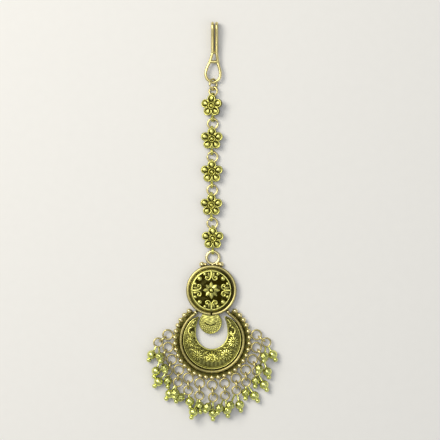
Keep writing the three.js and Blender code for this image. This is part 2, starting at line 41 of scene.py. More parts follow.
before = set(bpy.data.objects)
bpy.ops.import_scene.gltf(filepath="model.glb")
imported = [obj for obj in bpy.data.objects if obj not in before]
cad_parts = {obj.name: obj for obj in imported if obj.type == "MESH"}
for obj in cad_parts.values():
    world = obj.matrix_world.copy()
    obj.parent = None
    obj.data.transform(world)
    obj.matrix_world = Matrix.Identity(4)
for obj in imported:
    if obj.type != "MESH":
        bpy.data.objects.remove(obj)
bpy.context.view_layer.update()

MM = 0.001
TURN = 2 * math.pi
WELD = 1e-8  # metres within which two points of a mesh become one
SLIT_WIDTH = 0.1  # mm by which a jump ring stays open
CAP_STEPS = 5  # rings of points in the half ball that ends a wire
LEDGE_DROP = 0.12  # mm from the edge of a struck plate down to the ledge round it
LEDGE_WIDTH = 0.04
WALL_TONE = 0.25
FRINGE_TONE = 0.8

# What the frame's solids keep, in millimetres, measured from the medallion's centre.
SET_GAP = 0.3
LINK_GAP = 0.3
REST_GAP = 0.05
MEDALLION_RADIUS = 8.3
RIM_HEIGHT = 2.5
RIM_WIDTH = 0.95
BACK_PLATE = 0.9
TOP_LOOP = (0.45, 10.755)
TOP_LOOP_RADIUS = 2.05
CHAIN_LEVEL = 1.04
LARGE_GRANULE_TURN = 20
SMALL_GRANULE_TURN = 12.5
GRANULE_LIFT = 0.1
JOINT_GRANULE = 0.8  # size of the granules at the ring's ends, as a share of the large ones
ROSETTE_EDGE = 2.4
ROSETTE_DISH = 0.35
ROSETTE_RADIUS = MEDALLION_RADIUS - RIM_WIDTH - SET_GAP
FLANGE_WIDTH = 0.6
FLANGE_DROP = 0.45
CRESCENT_CENTRE = (0.25, -16.5)
RING_RADIUS = 10.35
RING_END_REACH = 9.8
BAND_OUTER = 12.45
BAND_FLOOR = 0.5
BAND_TOP = 1.5
GRANULE_COUNT = 31
GRANULE_STEP = 9.45
GRANULE_REACH = 12.3
PAD_REACH = 12.7
PAD_RADIUS = 0.4
WINDOW_CENTRE = (0.1, -14.15)
WINDOW_RADIUS = 5.2
WINDOW_HEIGHT = 9.0
PLATE_RADIUS = 9.55
HORN_ANGLE = 38
HORN_TAPER = 32
HORN_INSET = 0.5
PLATE_FLOOR = 0.4
PLATE_TOP = 1.4
DOME_RISE = 1.5
BOSS_CENTRE = (-0.3, -10.65)
BOSS_RADIUS = 3.7
BOSS_TOP = 1.9
FRINGE_COUNT = 13
FRINGE_STEP = 16.2
FRINGE_WIRE = 0.24
LOOP_RADIUS = 1.58
LOOP_LEVEL = 1.28
LOOP_REACH = 14.726
LINK_RADIUS = 1.32
LOWER_RING_RADIUS = 1.42
BEAD_RADIUS = 1.45
BEAD_NECK = 0.3
FLOWER_COUNT = 5
PETAL_COUNT = 5
PETAL_RADIUS = 1.42
PETAL_REACH = 2.25
FLOWER_FLOOR = 1.66
FLOWER_TOP = 2.26
BAIL_DROP = 4.32
BAIL_RISE = 3.3
BAIL_RADII = (0.88, 0.86)
FIRST_FLOWER_TILT = 22
FIRST_FLOWER_LIFT = 0.4
JUMP_RING_RADIUS = 1.65
HOOK_LINK_RADIUS = 1.4
HOOK_RING_RADIUS = 1.75
HOOK_RING_LEAN = 50
EYE_HALF_WIDTH = 2.4
EYE_LENGTH = 7.0
EYE_NECK = 2.6
HOOK_LENGTH = 20.4
HOOK_PITCH = 1.36
HOOK_BEND = 1.25
HOOK_STRAIGHT = 0.6
HOOK_RETURN = 9.5
WIRES_ASIDE = 1.05

# What only the finely made pieces have, in mm where no remark says otherwise.
BEAD_GRAINS = 6  # grains round a granulated bead
GRAIN_DEPTH = 0.09  # depth between the grains, as a share of the bead's radius
GRAIN_SHADE = 0.28  # how much darker the metal is between the grains
BAIL_STRANDS = ((-0.27, 0.13), (0, 0.15), (0.27, 0.13))  # place across the bail, and radius
BAIL_TWIST = 0.06
BAIL_TURNS = 15  # turns of the strands in one round of the bail
FLOWER_BAR = ((0, -0.6, 1.55), (0, -1.6, 1.55), (0, -2.6, 1.45), (0, -3.45, 1.15))
FLOWER_BAR_WIRE = 0.34
PETAL_RIM = 0.21  # from a petal's outline to the middle of the wire on it
JUMP_SLITS = (20, 160, 35, 150)  # degrees
HOOK_LINK_WIRE = 0.3
HOOK_RING_WIRE = 0.34
SOLDER_BAR = 1.12  # radius of the bar across the eye, as a share of the wire's

# The picture that the camera fits: its width in pixels, a pixel in mm and the medallion's place in it.
PICTURE_PIXELS = 440
PIXEL_SIZE = 0.33
MEDALLION_PIXEL = (211.4, 290.1)

# The stage, in metres and watts: half the floor's side, the camera's height, the room's colour and
# strength, where the lamps point, and each lamp's name, place, side, power and colour.
FLOOR_HALF = 1.5
CAMERA_HEIGHT = 0.8
ROOM_COLOUR = "#C9CCD0"
ROOM_STRENGTH = 0.5
LAMP_TARGET = (0, -0.01, 0)
LAMPS = (
    ("window_light", (-0.34, 0.24, 0.52), 0.34, 2.8, "#FFFBF2"),
    ("fill_light", (0.5, -0.3, 0.55), 0.5, 0.5, "#F4F7FF"),
    ("top_light", (-0.05, 0.1, 1.1), 0.5, 1.9, "#FFFFFF"),
)

# How each drop hangs, from left to right, as in the frame: the links' angle from straight down, then
# for the granulated and for the smooth bead its angle, its reach in bead radii and its lift.
DROPS = [
    (-51, (8, 3.1, 0.85), (-28, 3.15, 0)),
    (-34, (20, 2.41, 0.86), (-20, 3.24, 0)),
    (-18, (0, 2.2, 0), (-42, 3.2, 0)),
    (-4, (-12, 2.41, 0.76), (-35, 3.2, 0)),
    (0, (-48, 2.35, 0), (8, 2.5, 0)),
    (-2, (4, 2.41, 0), (-20, 3.9, 0.5)),
    (4, (-30, 2.41, 0.59), (0, 3.59, 0)),
    (2, (-24, 2.97, 0.55), (8, 3.31, 0)),
    (2, (-24, 3.59, 0.79), (12, 3.31, 0)),
    (2, (-2, 2.35, 0), (32, 3.59, 0)),
    (20, (-6, 2.21, 0), (28, 3.52, 0)),
    (34, (-22, 2.55, 0.9), (16, 3.31, 0)),
    (52, (-8, 3.1, 0.83), (28, 3.15, 0)),
]

# The hook's eye, from its left wire round to its right one: shares of its length and of its half width.
EYE = [
    (0.97, -0.42), (0.8, -0.68), (0.6, -0.9), (0.38, -1), (0.14, -0.76), (0, 0),
    (0.14, 0.8), (0.38, 1), (0.6, 0.92), (0.8, 0.76), (0.97, 0.66),
]

# The daisies on the crescent: sideways and upward place of each from the medallion's centre, and its
# radius, in mm. The palmette stands between the lower two.
DAISIES = [(5.0, -21.2, 1.95), (-4.6, -21.4, 1.8), (7.2, -16.9, 1.85), (-6.95, -17.0, 1.65)]
PALMETTE = (0.25, -22.2)
PALMETTE_RADIUS = 2.3
CRESCENT_SCROLLS = [(6.75, -13.35), (-6.5, -13.35)]

# The leaves in each row of the crescent's field: turn from the row in degrees, share of the way from the
# opening to the edge, lean in radians, length and half width in mm. They are full size where the plate is
# as wide as FULL_LEAF_WIDTH.
FIELD_LEAVES = [(0, 0.19, 0.9, 0.74, 0.33), (0, 0.4, -0.7, 0.9, 0.38), (7, 0.3, 0.2, 0.36, 0.34),
                (7, 0.55, 0.9, 0.66, 0.34)]
FULL_LEAF_WIDTH = 4.5
FAN_PETALS = 48
GROUND_TONE = 0.2

# The rosette's marks in mm: length and half width of the star's two kinds of leaf, the pearl in the
# clear middle of the star, the lip, and for each pearl its angle in degrees from the nearest straight
# line, its distance from the centre and its radius.
DIAGONAL_LEAF = (2.75, 0.78)
STRAIGHT_LEAF = (3.0, 0.8)
CENTRE_PEARL = 0.68
STAR_EYE = 0.92
LIP_WIDTH = 0.34
PEARLS = ((22, 5.76, 0.57), (45, 5.45, 0.78))

# One half of an anchor scroll in the medallion: sideways and outward places from its line, in mm.
SCROLL = [
    (0.12, 6.2), (0.12, 5.4), (0.2, 4.5), (0.45, 3.8), (0.95, 3.42), (1.5, 3.48), (1.88, 3.9),
    (1.8, 4.38), (1.42, 4.5), (1.2, 4.2),
]


def middle(node):
    """The middle of a node's box, in millimetres."""
    low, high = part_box(node)
    return np.array(low + high) / 2 / MM


ORIGIN = np.append(middle("medallion_rosette")[:2], 0.0)


def vector(x, y, z=0.0):
    """A point or a direction as an array."""
    return np.array([x, y, z], float)


def unit(vectors):
    """Each vector over its own length."""
    return vectors / np.linalg.norm(vectors, axis=-1, keepdims=True)


def below(centre, angle, reach):
    """The place at a distance from a centre, at an angle in degrees from straight down towards +X."""
    turn = np.radians(angle)
    return np.stack([centre[0] + reach * np.sin(turn), centre[1] - reach * np.cos(turn)], -1)


def spot(centre, angle, reach, level):
    """The place below a centre, at a level above the floor."""
    return vector(*below(centre, angle, reach), level)


def smooth(low, high, value):
    """0 below the low value and 1 above the high one, with the curve 3t squared less 2t cubed between."""
    t = np.clip((value - low) / (high - low), 0, 1)
    return t * t * (3 - 2 * t)


def ridge(distance, half_width):
    """A round ridge: the square root of 1 less the square of distance over half width, else 0."""
    return np.sqrt(np.clip(1 - (distance / half_width) ** 2, 0, 1))


class Metal:
    """The grids of points that make up one piece, each point with a tone from 0 to 1 that holds wear and
    painted light together: 0 is tarnish and painted shade, 1 is bare metal and a painted highlight.
    """

    def __init__(self):
        self.points = []
        self.tones = []
        self.faces = []
        self.count = 0

    def add(self, points, tones, round_rows=False):
        """Adds grids of rows by columns of points. A row's last point joins its first one."""
        rows, columns = points.shape[-3:-1]
        copies = points.reshape(-1, rows * columns, 3)
        row = np.arange(rows if round_rows else rows - 1)[:, None]
        column = np.arange(columns)[None, :]
        next_row = (row + 1) % rows
        next_column = (column + 1) % columns
        corners = [row * columns + column, row * columns + next_column,
                   next_row * columns + next_column, next_row * columns + column]
        quads = np.stack(corners, -1).reshape(-1, 4)
        starts = self.count + np.arange(len(copies)) * rows * columns
        self.faces.append((quads[None] + starts[:, None, None]).reshape(-1, 4))
        self.points.append(copies.reshape(-1, 3))
        self.tones.append(np.broadcast_to(tones, points.shape[:-1]).reshape(-1))
        self.count += copies.shape[0] * rows * columns

    def finish(self, name, finish, slot, nodes, sharp=38):
        """Makes the closed mesh in its finish, with its poles merged and its faces outwards, and sets it
        in the frame in place of its nodes."""
        points = np.concatenate(self.points) * MM
        faces = np.concatenate(self.faces)
        mesh = bpy.data.meshes.new(name)
        mesh.vertices.add(len(points))
        mesh.vertices.foreach_set("co", points.astype(np.float32).ravel())
        mesh.loops.add(faces.size)
        mesh.loops.foreach_set("vertex_index", faces.astype(np.int32).ravel())
        mesh.polygons.add(len(faces))
        mesh.polygons.foreach_set("loop_start", np.arange(0, faces.size, 4, dtype=np.int32))
        mesh.update(calc_edges=True)
        tone = mesh.attributes.new("tone", "FLOAT", "POINT")
        tone.data.foreach_set("value", np.concatenate(self.tones).astype(np.float32))
        shell = bmesh.new()
        shell.from_mesh(mesh)
        bmesh.ops.remove_doubles(shell, verts=shell.verts, dist=WELD)
        bmesh.ops.recalc_face_normals(shell, faces=shell.faces)
        shell.to_mesh(mesh)
        shell.free()
        mesh.shade_smooth()
        mesh.set_sharp_from_angle(angle=math.radians(sharp))
        mesh.materials.append(finish_named(finish))
        piece = bpy.data.objects.new(name, mesh)
        bpy.context.scene.collection.objects.link(piece)
        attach(piece, "root")
        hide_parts(*nodes)
        return piece


def wear_and_painted_light(lift, shade=0.2, low=-0.45, high=0.5):
    """Tone of a surface that faces up by this share: the shade at its sides, and 1 where it faces up. It is
    partly wear, bare tops and tarnished sides, and partly painted light, a painted highlight on top and
    painted shade at the sides.
    """
    return shade + (1 - shade) * smooth(low, high, lift)


def add_wire(metal, path, radius, up, sides=14, closed=False, tone=1.0):
    """Round wire: a point is the path's point plus the radius times cos t of the side vector and sin t
    of the lift vector, both square to the path. Open ends close in a half ball."""
    up = np.broadcast_to(up, path.shape)
    if closed:
        along = unit(np.roll(path, -1, 0) - np.roll(path, 1, 0))
        radii = np.broadcast_to(radius, len(path))
    else:
        along = unit(np.gradient(path, axis=0))
        cap = np.linspace(0, math.pi / 2, CAP_STEPS)
        first = path[0] - along[0] * radius * np.cos(cap)[:, None]
        last = path[-1] + along[-1] * radius * np.cos(cap[::-1])[:, None]
        path = np.concatenate([first, path[1:-1], last])
        along, up = (np.concatenate([np.repeat(rows[:1], CAP_STEPS, 0), rows[1:-1],
                                     np.repeat(rows[-1:], CAP_STEPS, 0)]) for rows in (along, up))
        end = radius * np.sin(cap)
        radii = np.concatenate([end, np.full(len(path) - 2 * CAP_STEPS, radius), end[::-1]])
    side = unit(np.cross(along, up))
    lift = np.cross(side, along)
    turn = np.linspace(0, TURN, sides, endpoint=False)[None, :, None]
    normal = np.cos(turn) * side[:, None] + np.sin(turn) * lift[:, None]
    points = path[:, None] + radii[:, None, None] * normal
    # Painted light over wear: the wire's tone is lighter where it faces up and painted in shade at its sides.
    metal.add(points, tone * wear_and_painted_light(normal[..., 2]), round_rows=closed)


def add_ring(metal, centre, radius, wire, first=(1, 0, 0), second=(0, 1, 0), steps=40, slit=None,
             sides=12, tone=1.0):
    """Wire ring: centre plus radius times (cos t of the first direction plus sin t of the second).
    A slit at an angle in degrees leaves the ring open by a hair there, as a jump ring is."""
    first, second = np.array(first, float), np.array(second, float)
    gap = 0.0 if slit is None else (SLIT_WIDTH / 2 + wire) / radius
    start = 0.0 if slit is None else math.radians(slit)
    turn = start + np.linspace(gap, TURN - gap, steps, endpoint=slit is not None)[:, None]
    path = centre + radius * (np.cos(turn) * first + np.sin(turn) * second)
    add_wire(metal, path, wire, np.cross(first, second), sides, slit is None, tone)


def add_turned(metal, profile, centre, axis=(0, 0, 1), steps=32, dent=None, tone=None):
    """Turned piece: centre plus the profile's height along the axis plus its reach round it. A dent
    shifts reach and height and takes a share of the tone at each turn."""
    profile = np.asarray(profile, float)
    axis = unit(np.array(axis, float))
    helper = vector(1, 0, 0) if abs(axis[2]) > 0.9 else vector(0, 0, 1)
    side = unit(np.cross(axis, helper))
    lift = np.cross(side, axis)
    turn = np.linspace(0, TURN, steps, endpoint=False)
    around = np.cos(turn)[:, None] * side + np.sin(turn)[:, None] * lift
    if tone is None:
        slope = np.gradient(profile, axis=0)
        normal = slope[:, 1][:, None, None] * around - slope[:, 0][:, None, None] * axis
        size = np.maximum(np.linalg.norm(normal, axis=-1), 1e-9)
        # Painted light over wear: the turned piece is lighter where it faces up and painted in shade at its
        # sides.
        tone = wear_and_painted_light(normal[..., 2] / size)
    reach = np.broadcast_to(profile[:, 0:1], (len(profile), steps))
    height = np.broadcast_to(profile[:, 1:2], (len(profile), steps))
    if dent is not None:
        reach, height, kept = dent(reach, height, turn)
        tone = tone * kept
    metal.add(centre + reach[..., None] * around + height[..., None] * axis, tone)


def arc(centre, radius, start, end, steps):
    """Points of a circle's arc as reach and height, from one angle in degrees to another."""
    turn = np.radians(np.linspace(start, end, steps))
    return [(centre[0] + radius * math.cos(t), centre[1] + radius * math.sin(t)) for t in turn]


def ball_profile(radius, rows):
    """A half circle from the lower to the upper pole: radius times sin t and minus cos t."""
    turn = np.linspace(0, math.pi, rows)
    return np.stack([np.sin(turn), -np.cos(turn)], -1) * radius


def add_balls(metal, centres, radius, rows=15, steps=24, tone=1.0):
    """Granules: the same ball at every centre, with its poles up and down."""
    profile = ball_profile(radius, rows)
    turn = np.linspace(0, TURN, steps, endpoint=False)
    ball = np.stack([profile[:, 0:1] * np.cos(turn), profile[:, 0:1] * np.sin(turn),
                     np.broadcast_to(profile[:, 1:2], (rows, steps))], -1)
    points = np.asarray(centres)[:, None, None, :] + ball
    # Painted light over wear: each granule is lighter on top and painted in shade at its sides and foot.
    metal.add(points, tone * wear_and_painted_light(ball[..., 2] / radius, 0.25, -0.6, 0.15))


def add_relief(metal, centre, edge, height, floor, rows, steps):
    """Relief plate: a point lies at share s of the way from the centre to the edge at turn t, at the
    height that the relief has there. A small ledge and a wall go down from the edge to a flat underside."""
    turn = np.linspace(0, TURN, steps, endpoint=False)
    reach = edge(turn)
    share = np.linspace(0, 1, rows)[:, None]
    x = share * reach * np.cos(turn)
    y = share * reach * np.sin(turn)
    top, tone = height(x, y)
    face = np.stack([x, y, top], -1)
    wall = face[-1:].copy()
    wall[..., 2] -= LEDGE_DROP
    wall[..., :2] *= 1 + LEDGE_WIDTH / reach[None, :, None]
    foot = wall.copy()
    foot[..., 2] = floor
    pole = np.broadcast_to(vector(0, 0, floor), foot.shape)
    tones = np.concatenate([tone, np.full((3, steps), WALL_TONE)])
    metal.add(centre + np.concatenate([face, wall, foot, pole]), tones)


def curve_through(points, steps):
    """A smooth path through the points: Catmull-Rom pieces, each a cubic of four neighbours."""
    points = np.asarray(points, float)
    padded = np.concatenate([2 * points[:1] - points[1:2], points, 2 * points[-1:] - points[-2:-1]])
    place = np.linspace(0, len(points) - 1, steps)
    start = np.minimum(place.astype(int), len(points) - 2)
    t = (place - start)[:, None]
    a, b, c, d = (padded[start + k] for k in range(4))
    return 0.5 * (2 * b + (c - a) * t + (2 * a - 5 * b + 4 * c - d) * t ** 2
                  + (3 * b - a - 3 * c + d) * t ** 3)


def distance_to(x, y, path):
    """Distance from each place to the nearest point of a path."""
    return np.sqrt(((x[..., None] - path[:, 0]) ** 2 + (y[..., None] - path[:, 1]) ** 2).min(-1))


def folded(x, y, count):
    """Turns a place into the nearest of equal sectors: outward and sideways distance, and its number."""
    angle = np.arctan2(y, x)
    number = np.round(angle / (TURN / count))
    angle = angle - number * TURN / count
    reach = np.hypot(x, y)
    return reach * np.cos(angle), reach * np.sin(angle), number.astype(int) % count


def star_leaf(out, side, length, half_width):
    """A leaf of the rosette's star: as wide as the sine of the way along it, rising to a cut-in vein."""
    along = np.clip(out / length, 0, 1)
    inside = np.clip(1 - np.abs(side) / (half_width * np.sin(math.pi * along ** 1.15) + 1e-6), 0, 1)
    leaf = (0.14 * smooth(0, 0.2, inside) + 0.3 * inside) * (out < length)
    return leaf - 0.12 * ridge(side, 0.09) * (along > 0.45) * (along < 0.9)


def rosette_edge(turn):
    """Outline of the rosette's face: a circle, inside the bezel by the gap and the ledge."""
    return np.full_like(turn, ROSETTE_RADIUS - LEDGE_WIDTH)


def rosette_height(x, y):
    """Height of the struck rosette: dish, lip, sloping flange, star of eight leaves, four anchor scrolls
    and thirteen pearls, each added as a ridge or a ball cap over the ground."""
    reach = np.hypot(x, y)
    inner = ROSETTE_RADIUS - FLANGE_WIDTH
    ground = ROSETTE_EDGE - ROSETTE_DISH + 0.12 * (1 - (reach / ROSETTE_RADIUS) ** 2)
    out, side, number = folded(x, y, 8)
    relief = np.maximum(0, star_leaf(out, side, *DIAGONAL_LEAF) * (number % 2))
    out, side, _ = folded(x, y, 4)
    relief = np.maximum(relief, star_leaf(out, side, *STRAIGHT_LEAF))
    tone = 0.04 + 0.74 * smooth(0.02, 0.34, relief)
    side = np.abs(side)
    from_leaf = np.hypot((side - 0.78 - 0.15 * (out - 5)) / 0.5, (out - 5.05) / 1.05)
    leaf = 0.22 * np.clip(1 - from_leaf ** 2, 0, 1)
    relief = np.maximum(relief, leaf)
    tone = np.maximum(tone, 0.55 * smooth(0, 0.14, leaf))
    marks = 0.46 * ridge(distance_to(side, out, curve_through(SCROLL, 80)), 0.29)
    marks = np.maximum(marks, 0.3 * ridge(np.hypot(side - 1.38, out - 4.02), 0.2))
    pearl = (0.14 + 0.66 * ridge(reach, CENTRE_PEARL)) * (reach < CENTRE_PEARL)
    marks = np.where(reach < STAR_EYE, pearl, marks)
    for angle, distance, radius in PEARLS:
        place = below((0, 0), 180 - angle, distance)
        away = np.hypot(side - place[0], out - place[1])
        marks = np.maximum(marks, radius * (0.3 + 0.8 * ridge(away, radius)) * (away < radius))
    relief = np.where(reach < STAR_EYE, marks, np.maximum(relief, marks))
    tone = np.maximum(tone * (reach > STAR_EYE), 0.04 + 0.96 * smooth(0.06, 0.36, marks))
    lip = smooth(inner - LIP_WIDTH, inner - 0.2, reach)
    height = ground + relief
    height += lip * np.maximum(0, ROSETTE_EDGE - height)
    height -= FLANGE_DROP * smooth(inner, ROSETTE_RADIUS, reach)
    tone = np.where(reach > inner - LIP_WIDTH, np.maximum(tone * (1 - lip), 0.8 * lip), tone)
    # The flange is painted lit at its left and painted in shade at its right, as light falls from the left.
    tone = np.where(reach > inner, 1 - 0.8 * smooth(-0.2, 0.8, x / np.maximum(reach, inner)), tone)
    return height, tone


def flower_height(x, y):
    """Height of a cast flower: rim wire round each petal, a drop-shaped dome in it, and a ringed pearl."""
    out, side, _ = folded(y, x, PETAL_COUNT)
    from_petal = np.hypot(out - PETAL_REACH, side)
    reach = np.hypot(x, y)
    relief = 0.42 * ridge(np.abs(from_petal - PETAL_RADIUS + PETAL_RIM), 0.23) * smooth(1.0, 1.4, out)
    narrow = 1 + 1.1 * smooth(0, 1.3, PETAL_REACH + 0.3 - out)
    drop = np.hypot((out - PETAL_REACH - 0.08) / 0.96, side * narrow / 0.84)
    dome = 0.42 * ridge(drop, 1) ** 0.8
    relief = np.maximum(relief, 0.45 * ridge(np.abs(reach - 1.0), 0.2))
    relief = np.maximum(relief, 0.66 * ridge(reach, 0.6))
    tone = 0.1 + 0.9 * smooth(0.04, 0.3, relief)
    tone = np.maximum(tone, 0.78 * smooth(0.02, 0.36, dome))
    return FLOWER_TOP - 0.02 + np.maximum(relief, dome), tone


def flower_edge(turn):
    """Outline of the flower: how far a ray from its centre goes to the far side of the nearest petal."""
    step = TURN / PETAL_COUNT
    angle = (turn - TURN / 4 + step / 2) % step - step / 2
    sideways = PETAL_REACH * np.sin(angle)
    return PETAL_REACH * np.cos(angle) + np.sqrt(PETAL_RADIUS ** 2 - sideways ** 2)


def boss_height(x, y):
    """Height of the moon boss: a thin raised rim, an uneven moon above a smiling line, granulation below."""
    reach = np.hypot(x, y)
    rim = ridge(np.abs(reach - BOSS_RADIUS + 0.17), 0.16)
    from_smile = np.hypot(x - 0.1, y - 1.75) - 2.55
    below_smile = smooth(0.05, 0.2, from_smile)
    grains = np.cos(x * 5 + 0.9 * np.sin(y * 2.6)) * np.cos(y * 5.2 + 0.8 * np.sin(x * 2.1))
    grains = np.clip(1.3 * np.abs(grains) - 0.3, 0, 1)
    waves = np.sin(x * 3.1 + 2 * np.sin(y * 1.9)) * np.sin(y * 3.7 + 1.3)
    relief = below_smile * 0.14 * grains + (1 - below_smile) * (0.15 + 0.04 * waves)
    relief = relief - 0.12 * ridge(from_smile, 0.12) * (np.abs(x) < 1.9)
    relief = np.maximum(relief, 0.24 * rim)
    height = BOSS_TOP - 0.2 + 0.25 * (1 - (reach / BOSS_RADIUS) ** 2) + relief
    tone = (1 - below_smile) * (0.66 + 0.16 * waves) + below_smile * (0.56 + 0.44 * grains)
    tone = tone - 0.6 * ridge(from_smile, 0.2) * (np.abs(x) < 1.9)
    tone = np.where(rim > 0, 0.62 + 0.2 * rim, tone)
    return height, tone


def boss_edge(turn):
    """Outline of the boss: its own radius, or less where a ray meets the medallion's side."""
    clear = MEDALLION_RADIUS + 0.1
    centre = np.array(BOSS_CENTRE)
    toward = centre[0] * np.cos(turn) + centre[1] * np.sin(turn)
    inside = toward ** 2 - centre @ centre + clear ** 2
    meeting = np.where(inside > 0, -toward - np.sqrt(np.maximum(inside, 0)), BOSS_RADIUS)
    return np.where((meeting > 0) & (meeting < BOSS_RADIUS), meeting, BOSS_RADIUS)


def window_reach(angle):
    """From the opening's middle to its edge: a circle below and a taller half ellipse above."""
    turn = np.radians(angle)
    egg = 1 / np.hypot(np.sin(turn) / WINDOW_RADIUS, np.cos(turn) / WINDOW_HEIGHT)
    return np.where(np.cos(turn) >= 0, WINDOW_RADIUS, egg)


def plate_width(angle):
    """Width of the crescent plate along a ray at that angle. Its outer circle draws in towards the horns
    by the square of the way into them."""
    turn = np.radians(angle)
    offset = np.array(WINDOW_CENTRE) - np.array(CRESCENT_CENTRE)
    along = offset[0] * np.sin(turn) - offset[1] * np.cos(turn)
    radius = PLATE_RADIUS - HORN_INSET * into_horn(angle) ** 2
    return -along + np.sqrt(along ** 2 - offset @ offset + radius ** 2) - window_reach(angle)


def into_horn(angle):
    """0 along the plate, rising to 1 at a horn's tip."""
    return np.clip(1 - (180 - HORN_ANGLE - np.abs(angle)) / HORN_TAPER, 0, 1)


def leaf_mark(x, y, centre, turn, long, wide):
    """A leaf: the ridge of the distance from its centre, measured in its own length and width."""
    east, north = x - centre[0], y - centre[1]
    ahead = east * math.sin(turn) - north * math.cos(turn)
    aside = east * math.cos(turn) + north * math.sin(turn)
    return ridge(np.hypot(ahead / long, aside / wide), 1)


def daisy_mark(x, y, centre, radius, petals=12):
    """A daisy: wedge petals, the root of a cosine round the centre, and a granule in the middle."""
    east, north = x - centre[0], y - centre[1]
    away = np.hypot(east, north) / radius
    fold = np.abs(np.cos(np.arctan2(north, east) * petals / 2))
    petal = smooth(0.3, 0.7, fold) * smooth(1, 0.9, away) * smooth(0.26, 0.36, away)
    return np.maximum(petal, ridge(away, 0.24)), away < 1.02


def plate_spot(angle, share):
    """The place on the crescent plate at an angle and a share of the way from its opening to its edge."""
    return below(WINDOW_CENTRE, angle, window_reach(angle) + plate_width(angle) * share)


def field_leaves(x, y):
    """The leaves of the crescent's field: rows that lean to and fro and grow smaller towards the horns."""
    marks = np.zeros_like(x)
    for row in np.arange(-112, 113, 14):
        size = min(1.0, float(plate_width(row)) / FULL_LEAF_WIDTH)
        for step, share, lean, long, wide in FIELD_LEAVES:
            turn = math.radians(row + step) + math.copysign(lean, row)
            leaf = leaf_mark(x, y, plate_spot(row + step, share), turn, long * size, wide * size)
            marks = np.maximum(marks, leaf)
    return marks


def horn_leaves(x, y, marks):
    """The marks with three small leaves in line on each horn."""
    for angle in (-134, -128, -121, 121, 128, 134):
        turn = math.radians(angle) + math.copysign(TURN / 4 - 0.25, angle)
        marks = np.maximum(marks, leaf_mark(x, y, plate_spot(angle, 0.5), turn, 0.5, 0.24))
    return marks


def scroll_mark(east, north):
    """An open scroll: a ring that is cut away on one side, with a ball in it."""
    away = np.hypot(east, north)
    kept = smooth(-0.75, -0.35, (east * 0.9 - north * 0.45) / np.maximum(away, 0.01))
    ball = ridge(np.hypot(east + 0.35, north + 0.55), 0.5)
    return np.maximum(ridge(np.abs(away - 1.12), 0.3) * kept, ball), away


def palmette(x, y, marks, tone):
    """The marks and tone with the palmette: a fan of seven leaves over three ringed pearls."""
    east, north = x - PALMETTE[0], y - PALMETTE[1]
    inside = (np.hypot(east, north) < PALMETTE_RADIUS) & (north > -0.5)
    marks = np.where(inside, 0, marks)
    tone = np.where(inside, 0.26, tone)
    for lean in (-84, -56, -28, 0, 28, 56, 84):
        long = 0.82 if lean % 56 else 0.95
        leaf = leaf_mark(x, y, below(PALMETTE, 180 + lean, 1.3), math.pi + math.radians(lean), long, 0.29)
        marks = np.maximum(marks, leaf)
    for side in (-1.75, 0, 1.75):
        away = np.hypot(east - side, north + 0.55 - 0.1 * abs(side))
        marks = np.maximum(marks, ridge(away, 0.42))
        marks = np.maximum(marks, 0.8 * ridge(np.abs(away - 0.78), 0.15))
    return marks, tone


def crescent_relief(x, y, angle, across, width):
    """Relief and tone of the crescent plate: a thin rim round the opening, a granulated field with
    leaves, daisies, a palmette and scrolls, a fan of soft petals outside it and a double outer lip."""
    inner, outer = across * width, (1 - across) * width
    grain = np.cos(x * 9 + np.sin(y * 3)) * np.cos(y * 9 + np.sin(x * 3))
    field = smooth(0.68, 0.6, across)
    fan = 1 - np.abs(np.sin(np.radians(angle) * FAN_PETALS / 2))
    petals = (1 - field) * smooth(0.1, 0.7, fan) * smooth(0.75, 1.3, outer)
    relief = 0.05 * field * (1 + grain) + 0.1 * petals
    tone = field * (0.33 + 0.22 * grain) + (1 - field) * (0.44 + 0.26 * petals)
    marks = horn_leaves(x, y, field_leaves(x, y) * field)
    for centre in CRESCENT_SCROLLS:
        curl, away = scroll_mark((x - centre[0]) * math.copysign(1, centre[0]), y - centre[1])
        marks = np.where(away < 1.42, curl, marks)
        tone = np.where(away < 1.2, GROUND_TONE, tone)
    for east, north, radius in DAISIES:
        mark, inside = daisy_mark(x, y, (east, north), radius)
        marks = np.where(inside, mark, marks)
        tone = np.where(inside, GROUND_TONE, tone)
    marks, tone = palmette(x, y, marks, tone)
    second_lip = ridge(np.abs(outer - 0.62), 0.14) * smooth(1.6, 2.4, width)
    lips = np.maximum(ridge(np.abs(outer - 0.17), 0.17), 0.8 * second_lip)
    rim = ridge(np.abs(inner - 0.18), 0.2)
    relief = np.maximum(np.maximum(relief, 0.4 * marks), np.maximum(0.14 * lips, 0.2 * rim))
    tone = np.maximum(tone, smooth(0.0, 0.6, marks) * (marks > 0))
    tone = np.where((outer < 0.8) & (lips <= 0), 0.16, tone)
    tone = np.where(lips > 0, 0.45 + 0.35 * lips, tone)
    tone = np.where(rim > 0, 0.62 + 0.25 * rim, tone)
    return relief, tone


def radius_setting(name, piece, default, low, high):
    """A radius for the sidebar, given in mm."""
    return bpy.props.FloatProperty(name=name, description=f"Radius of {piece}", default=default * MM,
                                   min=low * MM, max=high * MM, unit="LENGTH")


def colour_setting(name, surface, default):
    """A colour for the sidebar, as an sRGB hex value."""
    return bpy.props.StringProperty(name=name, description=f"Colour of {surface}", default=default)


